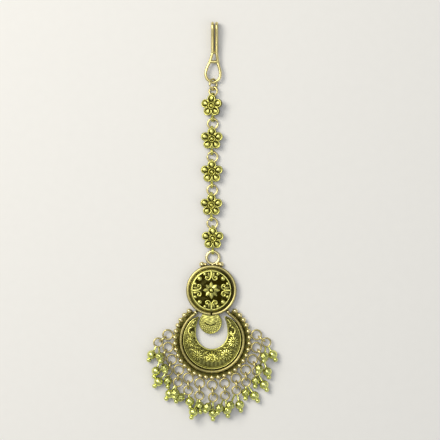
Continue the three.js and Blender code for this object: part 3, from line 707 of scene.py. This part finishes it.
class TikkaSizes(bpy.types.PropertyGroup):
    """Sizes of the finely made pieces."""

    top_loop_wire: radius_setting("Top loop wire", "the wire of the medallion's top loop", 0.45, 0.2, 0.8)
    large_granule: radius_setting("Large granules", "the granules beside the medallion", 0.88, 0.3, 1.2)
    small_granule: radius_setting("Small granules", "the granules beside the top loop", 0.58, 0.2, 1.0)
    edge_granule: radius_setting("Edge granules", "the granules round the crescent", 0.82, 0.3, 1.0)
    ring_wire: radius_setting("Ring wire", "the wire round the crescent plate", 0.5, 0.2, 0.7)
    fringe_wire: radius_setting("Fringe wire", "the wire of the fringe's loops and rings", 0.28, 0.1, 0.4)
    link_wire: radius_setting("Link wire", "the wire of the links that stand on edge", 0.32, 0.1, 0.4)
    bead: radius_setting("Beads", "the beads that hang in pairs", 1.5, 0.8, 1.8)
    end_bead: radius_setting("End beads", "the small bead under each bead", 0.77, 0.3, 1.0)
    jump_wire: radius_setting("Jump ring wire", "the wire of the rings between the flowers", 0.32, 0.1, 0.5)
    hook_wire: radius_setting("Hook wire", "the hair hook's wire", 0.46, 0.2, 0.7)


class TikkaColours(bpy.types.PropertyGroup):
    """Colours of the metal and the floor, as sRGB hex values."""

    brass: colour_setting("Rubbed brass", "the high parts of the castings", "#EAE683")
    bead: colour_setting("Tumbled brass", "the beads", "#EDF08F")
    wire: colour_setting("Drawn wire", "the hook, the jump rings and the standing links", "#E9DA93")
    granule: colour_setting("Granules", "the soldered granules", "#F0E2A4")
    fine_wire: colour_setting("Fine wire", "the fringe's loops and rings", "#D9CB8A")
    rim: colour_setting("Rim", "the medallion's rim and the crescent's ring", "#DDD088")
    tarnish: colour_setting("Tarnish", "the blackened hollows", "#2A2404")
    floor: colour_setting("Floor", "the paper under the jewel", "#F3F1EC")


def linear(colour):
    """An sRGB hex value as linear RGBA."""
    values = [int(colour[i:i + 2], 16) / 255 for i in (1, 3, 5)]
    return [v / 12.92 if v <= 0.04045 else ((v + 0.055) / 1.055) ** 2.4 for v in values] + [1.0]


def node(tree, kind, values=None, links=None, **settings):
    """Adds a node with its settings, the values of its inputs and the links that reach them."""
    made = tree.nodes.new(kind)
    for name, value in settings.items():
        setattr(made, name, value)
    for name, value in (values or {}).items():
        made.inputs[name].default_value = value
    for name, source in (links or {}).items():
        tree.links.new(source, made.inputs[name])
    return made


def mixed(colour, other, share):
    """A colour part of the way from one linear colour to another."""
    return [a + (b - a) * share for a, b in zip(colour, other)]


def oxidised_brass(name, bright, tarnish, roughness, mottle, grain_mm, grain_depth_mm):
    """Antique brass: blackened all over and then polished back, so its tone goes from tarnish and painted
    shade over olive to bare metal on what stands up and painted light on what faces up. The mottle is the
    uneven rubbing, the grain the cast skin."""
    material = bpy.data.materials.new(name)
    material.use_nodes = True
    tree = material.node_tree
    tree.nodes.clear()
    place = node(tree, "ShaderNodeTexCoord")
    tone = node(tree, "ShaderNodeAttribute", attribute_name="tone")
    cloud = node(tree, "ShaderNodeTexNoise", {"Scale": 1 / (1.6 * MM), "Detail": 4.0, "Roughness": 0.65},
                 {"Vector": place.outputs["Object"]})
    shift = node(tree, "ShaderNodeMapRange", {"From Min": 0.3, "From Max": 0.7, "To Min": -mottle,
                                              "To Max": mottle}, {"Value": cloud.outputs["Fac"]})
    # The tone plus the mottle carries wear and painted light and shade together.
    worn_and_painted_light = node(tree, "ShaderNodeMath", links={0: tone.outputs["Fac"], 1: shift.outputs["Result"]},
                operation="ADD", use_clamp=True)
    ramp = node(tree, "ShaderNodeValToRGB", links={"Fac": worn_and_painted_light.outputs["Value"]})
    stops = ramp.color_ramp.elements
    stops[0].position, stops[0].color = 0.05, tarnish
    stops[1].position, stops[1].color = 0.95, bright
    for position, share in ((0.32, 0.16), (0.6, 0.5), (0.8, 0.82)):
        stop = stops.new(position)
        stop.color = mixed(tarnish, bright, share)
    rough = node(tree, "ShaderNodeMapRange", {"To Min": roughness + 0.22, "To Max": roughness},
                 {"Value": worn_and_painted_light.outputs["Value"]})
    grain = node(tree, "ShaderNodeTexNoise", {"Scale": 1 / (grain_mm * MM), "Detail": 3.0},
                 {"Vector": place.outputs["Object"]})
    bump = node(tree, "ShaderNodeBump", {"Strength": 0.6, "Distance": grain_depth_mm * MM},
                {"Height": grain.outputs["Fac"]})
    shader = node(tree, "ShaderNodeBsdfPrincipled", {"Metallic": 1.0},
                  {"Base Color": ramp.outputs["Color"], "Roughness": rough.outputs["Result"],
                   "Normal": bump.outputs["Normal"]})
    node(tree, "ShaderNodeOutputMaterial", links={"Surface": shader.outputs["BSDF"]})
    return material


def paper_floor():
    """Matt pale paper: its fibres give it a faint uneven tone and tooth."""
    material = bpy.data.materials.new("uncoated_paper")
    material.use_nodes = True
    tree = material.node_tree
    tree.nodes.clear()
    place = node(tree, "ShaderNodeTexCoord")
    fibre = node(tree, "ShaderNodeTexNoise", {"Scale": 1 / (3 * MM), "Detail": 5.0},
                 {"Vector": place.outputs["Object"]})
    base = linear(bpy.context.scene.tikka_colours.floor)
    ramp = node(tree, "ShaderNodeValToRGB", links={"Fac": fibre.outputs["Fac"]})
    ramp.color_ramp.elements[0].color = [c * 0.97 for c in base[:3]] + [1]
    ramp.color_ramp.elements[1].color = base
    bump = node(tree, "ShaderNodeBump", {"Strength": 0.2, "Distance": 0.03 * MM},
                {"Height": fibre.outputs["Fac"]})
    shader = node(tree, "ShaderNodeBsdfPrincipled", {"Roughness": 0.9},
                  {"Base Color": ramp.outputs["Color"], "Normal": bump.outputs["Normal"]})
    node(tree, "ShaderNodeOutputMaterial", links={"Surface": shader.outputs["BSDF"]})
    return material


# Each finish of the one alloy: which colour it is rubbed to, roughness, mottle, grain size and depth.
FINISHES = {
    # Cast, soldered and blackened: a grainy skin with tarnish left along every joint.
    "cast_brass_oxidised": ("brass", 0.34, 0.16, 0.3, 0.03),
    # Struck in a die: crisper, and rubbed hard on its high points.
    "struck_brass_oxidised": ("brass", 0.33, 0.14, 0.22, 0.02),
    # Tumbled after casting: smooth and bright.
    "tumbled_brass": ("bead", 0.27, 0.1, 0.4, 0.012),
    # Half-round wire of the rims, rubbed less than the granules beside it.
    "rubbed_brass_rim": ("rim", 0.36, 0.1, 0.3, 0.012),
    # Granules melted round and soldered on: their tops are polished clean and painted lit, their feet stay
    # black with tarnish and painted shade.
    "soldered_granules": ("granule", 0.3, 0.08, 0.3, 0.01),
    # Drawn wire, warmer because less blacking took on it.
    "drawn_brass_wire": ("wire", 0.3, 0.12, 0.25, 0.01),
    # The fringe's finer wire, blacked longer.
    "fine_brass_wire": ("fine_wire", 0.32, 0.12, 0.25, 0.01),
}


def finish_named(name):
    """The material of one finish, made once."""
    if name in bpy.data.materials:
        return bpy.data.materials[name]
    colours = bpy.context.scene.tikka_colours
    colour, roughness, mottle, grain, depth = FINISHES[name]
    bright = linear(getattr(colours, colour))
    return oxidised_brass(name, bright, linear(colours.tarnish), roughness, mottle, grain, depth)


class TIKKA_OT_medallion_bezel(bpy.types.Operator):
    """Turns the bezel with its half-round rim and sets the top loop and granules on it"""

    bl_idname = "tikka.medallion_bezel"
    bl_label = "Medallion bezel"

    def execute(self, context):
        sizes = context.scene.tikka_sizes
        rim = RIM_WIDTH / 2
        rim_level = RIM_HEIGHT - rim
        wall = MEDALLION_RADIUS - RIM_WIDTH
        profile = [(0, 0), (MEDALLION_RADIUS - 0.4, 0), (MEDALLION_RADIUS - 0.1, 0.12),
                   (MEDALLION_RADIUS, 0.4), (MEDALLION_RADIUS, rim_level - 0.5)]
        profile += arc((MEDALLION_RADIUS - rim, rim_level), rim, 0, 180, 13)
        profile += [(wall, BACK_PLATE), (wall - 0.1, BACK_PLATE), (0, BACK_PLATE)]
        profile = np.array(profile)
        slope = np.gradient(profile, axis=0)
        lift = -slope[:, 0] / np.maximum(np.hypot(slope[:, 0], slope[:, 1]), 1e-9)
        # Painted light over wear: the rim's top is lighter where it faces up and painted in shade at its
        # sides.
        tone = np.where(profile[:, 1] > rim_level - 0.01, 0.34 + 0.5 * smooth(0.05, 0.9, lift), 0.25)
        tone = np.where((profile[:, 0] <= wall + 0.01) & (profile[:, 1] > 0.5), 0.3, tone)

        def seam(reach, height, turn):
            aside = np.abs(turn - TURN / 2) * MEDALLION_RADIUS
            slot = smooth(0.3, 0.14, aside)[None, :] * smooth(rim_level - 0.2, rim_level, height)
            return reach, height - 0.4 * slot, 1 - slot

        metal = Metal()
        add_turned(metal, profile, ORIGIN, steps=288, dent=seam, tone=tone[:, None])
        loop = ORIGIN + vector(*TOP_LOOP, CHAIN_LEVEL)
        metal.finish("medallion_bezel", "rubbed_brass_rim", "pendant_brass", ["pendant_frame"])
        fittings = Metal()
        add_ring(fittings, loop, TOP_LOOP_RADIUS, sizes.top_loop_wire / MM, steps=72, sides=18)
        small, large = sizes.small_granule / MM, sizes.large_granule / MM
        add_balls(fittings, [ORIGIN + vector(TOP_LOOP[0], MEDALLION_RADIUS + 0.02, CHAIN_LEVEL)], small)
        for side in (-1, 1):
            place = spot((0, 0), 180 - side * SMALL_GRANULE_TURN, MEDALLION_RADIUS + small * 0.7, CHAIN_LEVEL)
            add_balls(fittings, [ORIGIN + place], small)
            place = spot((0, 0), 180 - side * LARGE_GRANULE_TURN, MEDALLION_RADIUS + large * 0.85,
                         large + GRANULE_LIFT)
            add_balls(fittings, [ORIGIN + place], large, 19, 32)
        fittings.finish("top_loop_and_granules", "soldered_granules", "pendant_brass",
                        ["pendant_frame"])
        return {"FINISHED"}


class TIKKA_OT_medallion_rosette(bpy.types.Operator):
    """Strikes the rosette that sits in the bezel"""

    bl_idname = "tikka.medallion_rosette"
    bl_label = "Medallion rosette"

    def execute(self, context):
        metal = Metal()
        add_relief(metal, ORIGIN, rosette_edge, rosette_height, BACK_PLATE + SET_GAP, 110, 440)
        metal.finish("rosette_relief", "struck_brass_oxidised", "relief_brass", ["medallion_rosette"],
                     sharp=60)
        return {"FINISHED"}


def fringe_angle(i):
    """Angle of one of the fringe's loops from straight down, in degrees."""
    return (i - (FRINGE_COUNT - 1) / 2) * FRINGE_STEP


def fringe_loop(i):
    """The middle of one of the fringe's loops."""
    return ORIGIN + spot(CRESCENT_CENTRE, fringe_angle(i), LOOP_REACH, LOOP_LEVEL)


class TIKKA_OT_crescent_band(bpy.types.Operator):
    """Bends the ring wire and band round the crescent, with its granules and soldered loops"""

    bl_idname = "tikka.crescent_band"
    bl_label = "Crescent band, granules and loops"

    def execute(self, context):
        sizes = context.scene.tikka_sizes
        span = math.hypot(*CRESCENT_CENTRE)
        cosine = (span ** 2 + RING_RADIUS ** 2 - RING_END_REACH ** 2) / (2 * span * RING_RADIUS)
        open_angle = math.degrees(math.acos(cosine))
        angles = np.linspace(open_angle - 180, 180 - open_angle, 220)
        wire = sizes.ring_wire / MM
        inner = RING_RADIUS - wire
        # Reach, height and tone of the band's section, from its inner underside round to its inner top.
        band = np.array([
            (inner, BAND_FLOOR, 0.0), (BAND_OUTER - 0.15, BAND_FLOOR, 0.1),
            (BAND_OUTER, BAND_FLOOR + 0.2, 0.3), (BAND_OUTER, BAND_TOP - 0.45, 0.46),
            (BAND_OUTER - 0.14, BAND_TOP - 0.28, 0.5), (BAND_OUTER - 0.5, BAND_TOP - 0.25, 0.34),
            (RING_RADIUS + 0.85, BAND_TOP - 0.22, 0.17), (RING_RADIUS + 0.5, BAND_TOP - 0.12, 0.04),
            (inner, BAND_TOP, 0.0),
        ])
        sweep = below(CRESCENT_CENTRE, angles[:, None], band[None, :, 0])
        points = np.concatenate([sweep, np.broadcast_to(band[:, 1:2], sweep.shape[:2] + (1,))], -1)
        ends = points[[0, -1]].mean(1, keepdims=True) + np.zeros_like(points[[0, -1]])
        points = np.concatenate([ends[:1], points, ends[1:]])
        metal, grains = Metal(), Metal()
        metal.add(ORIGIN + points, band[:, 2])
        granule = sizes.large_granule / MM
        for side in (-1, 1):
            end = below(CRESCENT_CENTRE, 180 - side * open_angle, RING_RADIUS)
            joint = unit(end) * (MEDALLION_RADIUS + granule * JOINT_GRANULE)
            place = vector(*joint, granule + GRANULE_LIFT)
            add_balls(grains, [ORIGIN + place], granule * JOINT_GRANULE, 19, 32)
        turns = (np.arange(GRANULE_COUNT) - (GRANULE_COUNT - 1) / 2) * GRANULE_STEP
        granules = np.concatenate([below(CRESCENT_CENTRE, turns, GRANULE_REACH),
                                   np.full((GRANULE_COUNT, 1), BAND_TOP)], -1)
        add_balls(grains, ORIGIN + granules, sizes.edge_granule / MM, 17, 28)
        turns = [fringe_angle(i) for i in range(FRINGE_COUNT)]
        pads = np.concatenate([below(CRESCENT_CENTRE, turns, PAD_REACH),
                               np.full((FRINGE_COUNT, 1), BAND_FLOOR + PAD_RADIUS)], -1)
        add_balls(metal, ORIGIN + pads, PAD_RADIUS, tone=0.55)
        metal.finish("crescent_band", "cast_brass_oxidised", "pendant_brass", ["pendant_frame"])
        grains.finish("crescent_granules", "soldered_granules", "pendant_brass", ["pendant_frame"])
        ring = Metal()
        path = np.concatenate([below(CRESCENT_CENTRE, angles, RING_RADIUS),
                               np.full((len(angles), 1), BAND_TOP)], -1)
        add_wire(ring, ORIGIN + path, wire, vector(0, 0, 1), 20, tone=0.66)
        ring.finish("crescent_ring_wire", "rubbed_brass_rim", "pendant_brass", ["pendant_frame"])
        loops = Metal()
        for i in range(FRINGE_COUNT):
            add_ring(loops, fringe_loop(i), LOOP_RADIUS, sizes.fringe_wire / MM, steps=48,
                     tone=FRINGE_TONE)
        loops.finish("fringe_loops", "fine_brass_wire", "fringe_brass", ["pendant_frame"])
        return {"FINISHED"}


class TIKKA_OT_crescent_plate(bpy.types.Operator):
    """Strikes the crescent plate with its flowers and the boss between its horns"""

    bl_idname = "tikka.crescent_plate"
    bl_label = "Crescent plate and moon boss"

    def execute(self, context):
        angle = np.linspace(HORN_ANGLE - 180, 180 - HORN_ANGLE, 640)[:, None]
        across = np.linspace(0, 1, 96)[None, :]
        inside, width = window_reach(angle), plate_width(angle)
        share = np.sqrt(width / plate_width(0))
        place = below(WINDOW_CENTRE, angle + 0 * across, inside + width * across)
        swell = np.sin(math.pi * np.clip((across - 0.05) / 0.87, 0, 1)) ** 0.85
        relief, tone = crescent_relief(place[..., 0], place[..., 1], angle, across, width)
        height = PLATE_TOP + share * DOME_RISE * (0.12 + 0.76 * swell) + relief * share
        top = np.concatenate([place, height[..., None]], -1)
        edge = top[:, -1]
        outward = unit(edge[:, :2] - place[:, 0])
        skirt = np.stack([edge, edge], 1)
        skirt[:, 0, 2] = PLATE_FLOOR + 0.35
        skirt[:, 1, 2] = PLATE_FLOOR + 0.3
        skirt[:, 1, :2] += outward * (SET_GAP - 0.03) * (1 - into_horn(angle))
        foot = np.stack([skirt[:, 1], top[:, 0]], 1)
        foot[..., 2] = PLATE_FLOOR
        points = np.concatenate([top, skirt, foot], 1)
        tones = np.concatenate([tone, np.zeros((len(angle), 4))], 1)
        tips = points[[0, -1]].mean(1, keepdims=True) + np.zeros_like(points[[0, -1]])
        points = np.concatenate([tips[:1], points, tips[1:]])
        tones = np.concatenate([tones[:1], tones, tones[-1:]])
        metal = Metal()
        metal.add(ORIGIN + points, tones)
        metal.finish("crescent_relief", "struck_brass_oxidised", "relief_brass",
                     ["crescent_dome"], sharp=60)
        boss = Metal()
        add_relief(boss, ORIGIN + vector(*BOSS_CENTRE), boss_edge, boss_height, BAND_FLOOR, 70, 300)
        boss.finish("moon_boss_relief", "struck_brass_oxidised", "relief_brass", ["moon_boss"], sharp=60)
        return {"FINISHED"}


def flower_metal():
    """One flower about its own centre: the petals, at each end a bail of three twisted strands, and the
    bar between the bails."""
    metal = Metal()
    add_relief(metal, vector(0, 0), flower_edge, flower_height, FLOWER_FLOOR, 44, 240)
    turn = np.linspace(0, TURN, 60, endpoint=False)
    for y in (BAIL_RISE, -BAIL_DROP):
        for x, wire in BAIL_STRANDS:
            twist = BAIL_TWIST * np.sin(turn * BAIL_TURNS + x * 12)
            path = np.stack([x + twist, BAIL_RADII[0] * np.cos(turn), BAIL_RADII[1] * np.sin(turn)], -1)
            add_wire(metal, vector(0, y, CHAIN_LEVEL) + path, wire, vector(1, 0, 0), 8, True)
    add_wire(metal, np.array(FLOWER_BAR), FLOWER_BAR_WIRE, vector(0, 0, 1), 10)
    return metal


class TIKKA_OT_chain_flowers(bpy.types.Operator):
    """Casts the five flowers of the chain"""

    bl_idname = "tikka.chain_flowers"
    bl_label = "Chain flowers"

    def execute(self, context):
        for i in range(FLOWER_COUNT):
            metal = flower_metal()
            node_name = f"flower_link_{i + 1}"
            low, high = (np.array(corner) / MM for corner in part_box(node_name))
            place = vector((low[0] + high[0]) / 2, high[1] - BAIL_RISE - CHAIN_LEVEL)
            points = np.concatenate(metal.points)
            if i == 0:
                tilt = math.radians(-FIRST_FLOWER_TILT)
                turned = np.array([[math.cos(tilt), 0, math.sin(tilt)], [0, 1, 0],
                                   [-math.sin(tilt), 0, math.cos(tilt)]])
                points = points @ turned.T
                place[2] = FIRST_FLOWER_LIFT * -math.sin(tilt)
                place[0] = low[0] - points[:, 0].min()
            metal.points = [points + place]
            metal.finish(f"flower_{i + 1}", "cast_brass_oxidised", "chain_brass", [node_name])
        return {"FINISHED"}


class TIKKA_OT_chain_rings(bpy.types.Operator):
    """Bends the jump rings of the chain and the two rings that hold the hook"""

    bl_idname = "tikka.chain_rings"
    bl_label = "Chain rings"

    def execute(self, context):
        sizes = context.scene.tikka_sizes
        for i, slit in enumerate(JUMP_SLITS, 1):
            metal = Metal()
            add_ring(metal, middle(f"jump_ring_{i}"), JUMP_RING_RADIUS, sizes.jump_wire / MM, steps=56,
                     slit=slit, sides=14)
            metal.finish(f"jump_ring_wire_{i}", "drawn_brass_wire", "ring_brass", [f"jump_ring_{i}"])
        for name, radius, wire, lean, slit in (
            ("hook_link", HOOK_LINK_RADIUS, HOOK_LINK_WIRE, FIRST_FLOWER_TILT, 140),
            ("hook_ring", HOOK_RING_RADIUS, HOOK_RING_WIRE, -HOOK_RING_LEAN, 200),
        ):
            metal = Metal()
            turn = math.radians(lean)
            first = (math.cos(turn), 0, math.sin(turn))
            add_ring(metal, middle(name), radius, wire, first, steps=56, slit=slit, sides=14)
            metal.finish(f"{name}_wire", "drawn_brass_wire", "ring_brass", [name])
        return {"FINISHED"}


class TIKKA_OT_hair_hook(bpy.types.Operator):
    """Bends the hair hook from one wire, with a bar of solder across its eye"""

    bl_idname = "tikka.hair_hook"
    bl_label = "Hair hook"

    def execute(self, context):
        wire = context.scene.tikka_sizes.hook_wire / MM
        low, high = (np.array(corner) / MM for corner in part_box("hair_hook"))
        base = low[1] + wire
        eye_x = (low[0] + high[0]) / 2
        wires_x = ORIGIN[0] + WIRES_ASIDE
        level = middle("hook_ring")[2]
        rest = wire + REST_GAP
        bend_top = 2 * HOOK_BEND + rest
        top = base + HOOK_LENGTH - 2 * wire
        joint = base + EYE_LENGTH
        neck = joint + EYE_NECK
        neck_level = level + (bend_top - level) * EYE_NECK / (top - HOOK_BEND - joint)
        half = HOOK_PITCH / 2
        straight = top - HOOK_BEND - HOOK_STRAIGHT
        turn_back = top - HOOK_RETURN + half
        lift = vector(0, 0, 1)
        metal = Metal()
        bend = np.radians(np.linspace(90, -90, 17))
        for x in (wires_x - half, wires_x + half):
            rise = curve_through([(x, neck, neck_level), (x, (neck + top) / 2, (neck_level + bend_top) / 2),
                                  (x, straight, bend_top)], 30)
            fold = np.stack([np.full_like(bend, x), top - HOOK_BEND + HOOK_BEND * np.cos(bend),
                             bend_top - HOOK_BEND + HOOK_BEND * np.sin(bend)], -1)
            back = np.linspace((x, straight, rest), (x, turn_back, rest), 8)
            add_wire(metal, np.concatenate([rise, fold, back]), wire, vector(1, 0, 0), 18)
        swing = np.radians(np.linspace(0, -180, 15))
        tip = np.stack([wires_x + half * np.cos(swing), turn_back + half * np.sin(swing),
                        np.full_like(swing, rest)], -1)
        add_wire(metal, tip, wire, lift, 18)
        eye = [(eye_x + width * EYE_HALF_WIDTH, base + share * EYE_LENGTH, level) for share, width in EYE]
        loop = [(wires_x - half, neck, neck_level), *eye, (wires_x + half, neck, neck_level)]
        add_wire(metal, curve_through(loop, 90), wire, lift, 18)
        add_wire(metal, np.linspace(eye[0], eye[-1], 7), wire * SOLDER_BAR, lift, 18)
        metal.finish("hair_hook_wire", "drawn_brass_wire", "hook_wire", ["hair_hook"])
        return {"FINISHED"}


class TIKKA_OT_fringe_links(bpy.types.Operator):
    """Bends the links that stand on edge between the loops and the lower rings"""

    bl_idname = "tikka.fringe_links"
    bl_label = "Fringe links"

    def execute(self, context):
        wire = context.scene.tikka_sizes.link_wire / MM
        for i, (hang, _, _) in enumerate(DROPS, 1):
            metal = Metal()
            node_name = f"drop_link_{i:02d}"
            add_ring(metal, middle(node_name), LINK_RADIUS + FRINGE_WIRE - wire, wire,
                     spot((0, 0), hang, 1, 0), (0, 0, 1), 44, slit=-60)
            metal.finish(f"fringe_link_{i:02d}", "drawn_brass_wire", "fringe_brass", [node_name])
        return {"FINISHED"}


def bead_profile(start, radius, end_radius):
    """Reach and height of a bead on its neck: a waisted neck, a round bead and a small end bead."""
    centre = start + radius
    last = centre + radius * 0.96 + end_radius * 0.62
    profile = [(0, 0), (BEAD_NECK, 0.05), (BEAD_NECK, max(start - 0.1, 0.1))]
    profile += arc((0, centre), radius, -74, 66, 17)
    profile += arc((0, last), end_radius, -50, 90, 10)
    return np.array(profile)


def grained(centre, radius):
    """Rows of grains round a bead: its reach varies with the product of two cosines, bright on top."""

    def dent(reach, height, turn):
        latitude = np.arcsin(np.clip((height - centre) / radius, -1, 1))
        on_bead = (np.abs(height - centre) < radius * 0.93) * np.cos(latitude) ** 0.5 * (reach > 0.4)
        hollow = on_bead * (1 - np.cos(turn[None, :] * BEAD_GRAINS) * np.cos(latitude * BEAD_GRAINS))
        return reach - GRAIN_DEPTH * radius * hollow, height, 1 - GRAIN_SHADE * hollow

    return dent


class TIKKA_OT_bead_drops(bpy.types.Operator):
    """Hangs a granulated and a smooth bead from each lower ring"""

    bl_idname = "tikka.bead_drops"
    bl_label = "Bead drops"

    def execute(self, context):
        sizes = context.scene.tikka_sizes
        wire, radius, end_radius = (s / MM for s in (sizes.fringe_wire, sizes.bead, sizes.end_bead))
        level = BEAD_RADIUS + REST_GAP
        link_reach = LOOP_RADIUS - 2 * FRINGE_WIRE - LINK_GAP + LINK_RADIUS
        ring_reach = link_reach + LINK_RADIUS - 2 * FRINGE_WIRE - LINK_GAP + LOWER_RING_RADIUS
        for i, (hang, granulated, plain) in enumerate(DROPS):
            nodes = [f"bead_drop_{i + 1:02d}"]
            centre = spot(fringe_loop(i), hang, ring_reach, level)
            ring = Metal()
            add_ring(ring, centre, LOWER_RING_RADIUS, wire, steps=44, tone=FRINGE_TONE)
            ring.finish(f"lower_ring_{i + 1:02d}", "fine_brass_wire", "bead_brass", nodes)
            beads = Metal()
            for angle, reach, lift in (granulated, plain):
                start = spot(centre, angle, LOWER_RING_RADIUS, level)
                axis = spot(centre, angle, reach * BEAD_RADIUS, level + lift * 2 * BEAD_RADIUS) - start
                middle_reach = np.linalg.norm(axis)
                profile = bead_profile(middle_reach - radius, radius, end_radius)
                dent = grained(middle_reach, radius) if len(beads.points) == 0 else None
                add_turned(beads, profile, start, axis, 40, dent)
            beads.finish(f"bead_pair_{i + 1:02d}", "tumbled_brass", "bead_brass", nodes)
        return {"FINISHED"}


class TIKKA_OT_stage(bpy.types.Operator):
    """Lays the floor and sets the lamps and the camera straight above"""

    bl_idname = "tikka.stage"
    bl_label = "Stage"

    def execute(self, context):
        scene = context.scene
        floor_mesh = bpy.data.meshes.new("floor")
        corners = [(x * FLOOR_HALF, y * FLOOR_HALF, 0) for x, y in ((-1, -1), (1, -1), (1, 1), (-1, 1))]
        floor_mesh.from_pydata(corners, [], [(0, 1, 2, 3)])
        floor = bpy.data.objects.new("floor", floor_mesh)
        scene.collection.objects.link(floor)
        floor_mesh.materials.append(paper_floor())
        for name, place, size, power, colour in LAMPS:
            lamp_data = bpy.data.lights.new(name, "AREA")
            lamp_data.size = size
            lamp_data.energy = power
            lamp_data.color = linear(colour)[:3]
            lamp = bpy.data.objects.new(name, lamp_data)
            lamp.location = place
            lamp.rotation_euler = (Vector(LAMP_TARGET) - lamp.location).to_track_quat("-Z", "Y").to_euler()
            scene.collection.objects.link(lamp)
        world = bpy.data.worlds.new("studio")
        world.use_nodes = True
        background = world.node_tree.nodes["Background"]
        background.inputs["Color"].default_value = linear(ROOM_COLOUR)
        background.inputs["Strength"].default_value = ROOM_STRENGTH
        scene.world = world
        camera_data = bpy.data.cameras.new("overhead")
        camera_data.sensor_width = 36
        picture = PICTURE_PIXELS * PIXEL_SIZE * MM
        camera_data.lens = camera_data.sensor_width * CAMERA_HEIGHT / picture
        camera = bpy.data.objects.new("overhead", camera_data)
        side = (PICTURE_PIXELS / 2 - MEDALLION_PIXEL[0]) * PIXEL_SIZE
        down = (MEDALLION_PIXEL[1] - PICTURE_PIXELS / 2) * PIXEL_SIZE
        camera.location = ((ORIGIN[0] + side) * MM, (ORIGIN[1] + down) * MM, CAMERA_HEIGHT)
        scene.collection.objects.link(camera)
        scene.camera = camera
        scene.view_settings.view_transform = "Standard"
        return {"FINISHED"}


PIECES = (
    TIKKA_OT_medallion_bezel, TIKKA_OT_medallion_rosette, TIKKA_OT_crescent_band,
    TIKKA_OT_crescent_plate, TIKKA_OT_chain_flowers, TIKKA_OT_chain_rings, TIKKA_OT_hair_hook,
    TIKKA_OT_fringe_links, TIKKA_OT_bead_drops, TIKKA_OT_stage,
)


class TIKKA_PT_panel(bpy.types.Panel):
    """Lists the sizes, the colours and a button for each piece"""

    bl_idname = "TIKKA_PT_panel"
    bl_label = "Tikka"
    bl_space_type = "VIEW_3D"
    bl_region_type = "UI"
    bl_category = "Tikka"

    def draw(self, context):
        for group in (context.scene.tikka_sizes, context.scene.tikka_colours):
            column = self.layout.column()
            for name in group.__annotations__:
                column.prop(group, name)
        for piece in PIECES:
            self.layout.operator(piece.bl_idname)


CLASSES = (TikkaSizes, TikkaColours, *PIECES, TIKKA_PT_panel)


def register():
    for item in CLASSES:
        bpy.utils.register_class(item)
    bpy.types.Scene.tikka_sizes = bpy.props.PointerProperty(type=TikkaSizes)
    bpy.types.Scene.tikka_colours = bpy.props.PointerProperty(type=TikkaColours)


def unregister():
    del bpy.types.Scene.tikka_colours
    del bpy.types.Scene.tikka_sizes
    for item in reversed(CLASSES):
        bpy.utils.unregister_class(item)


def main():
    """Makes every piece in order."""
    register()
    for piece in PIECES:
        group, name = piece.bl_idname.split(".")
        getattr(getattr(bpy.ops, group), name)()


if __name__ == "__main__":
    main()
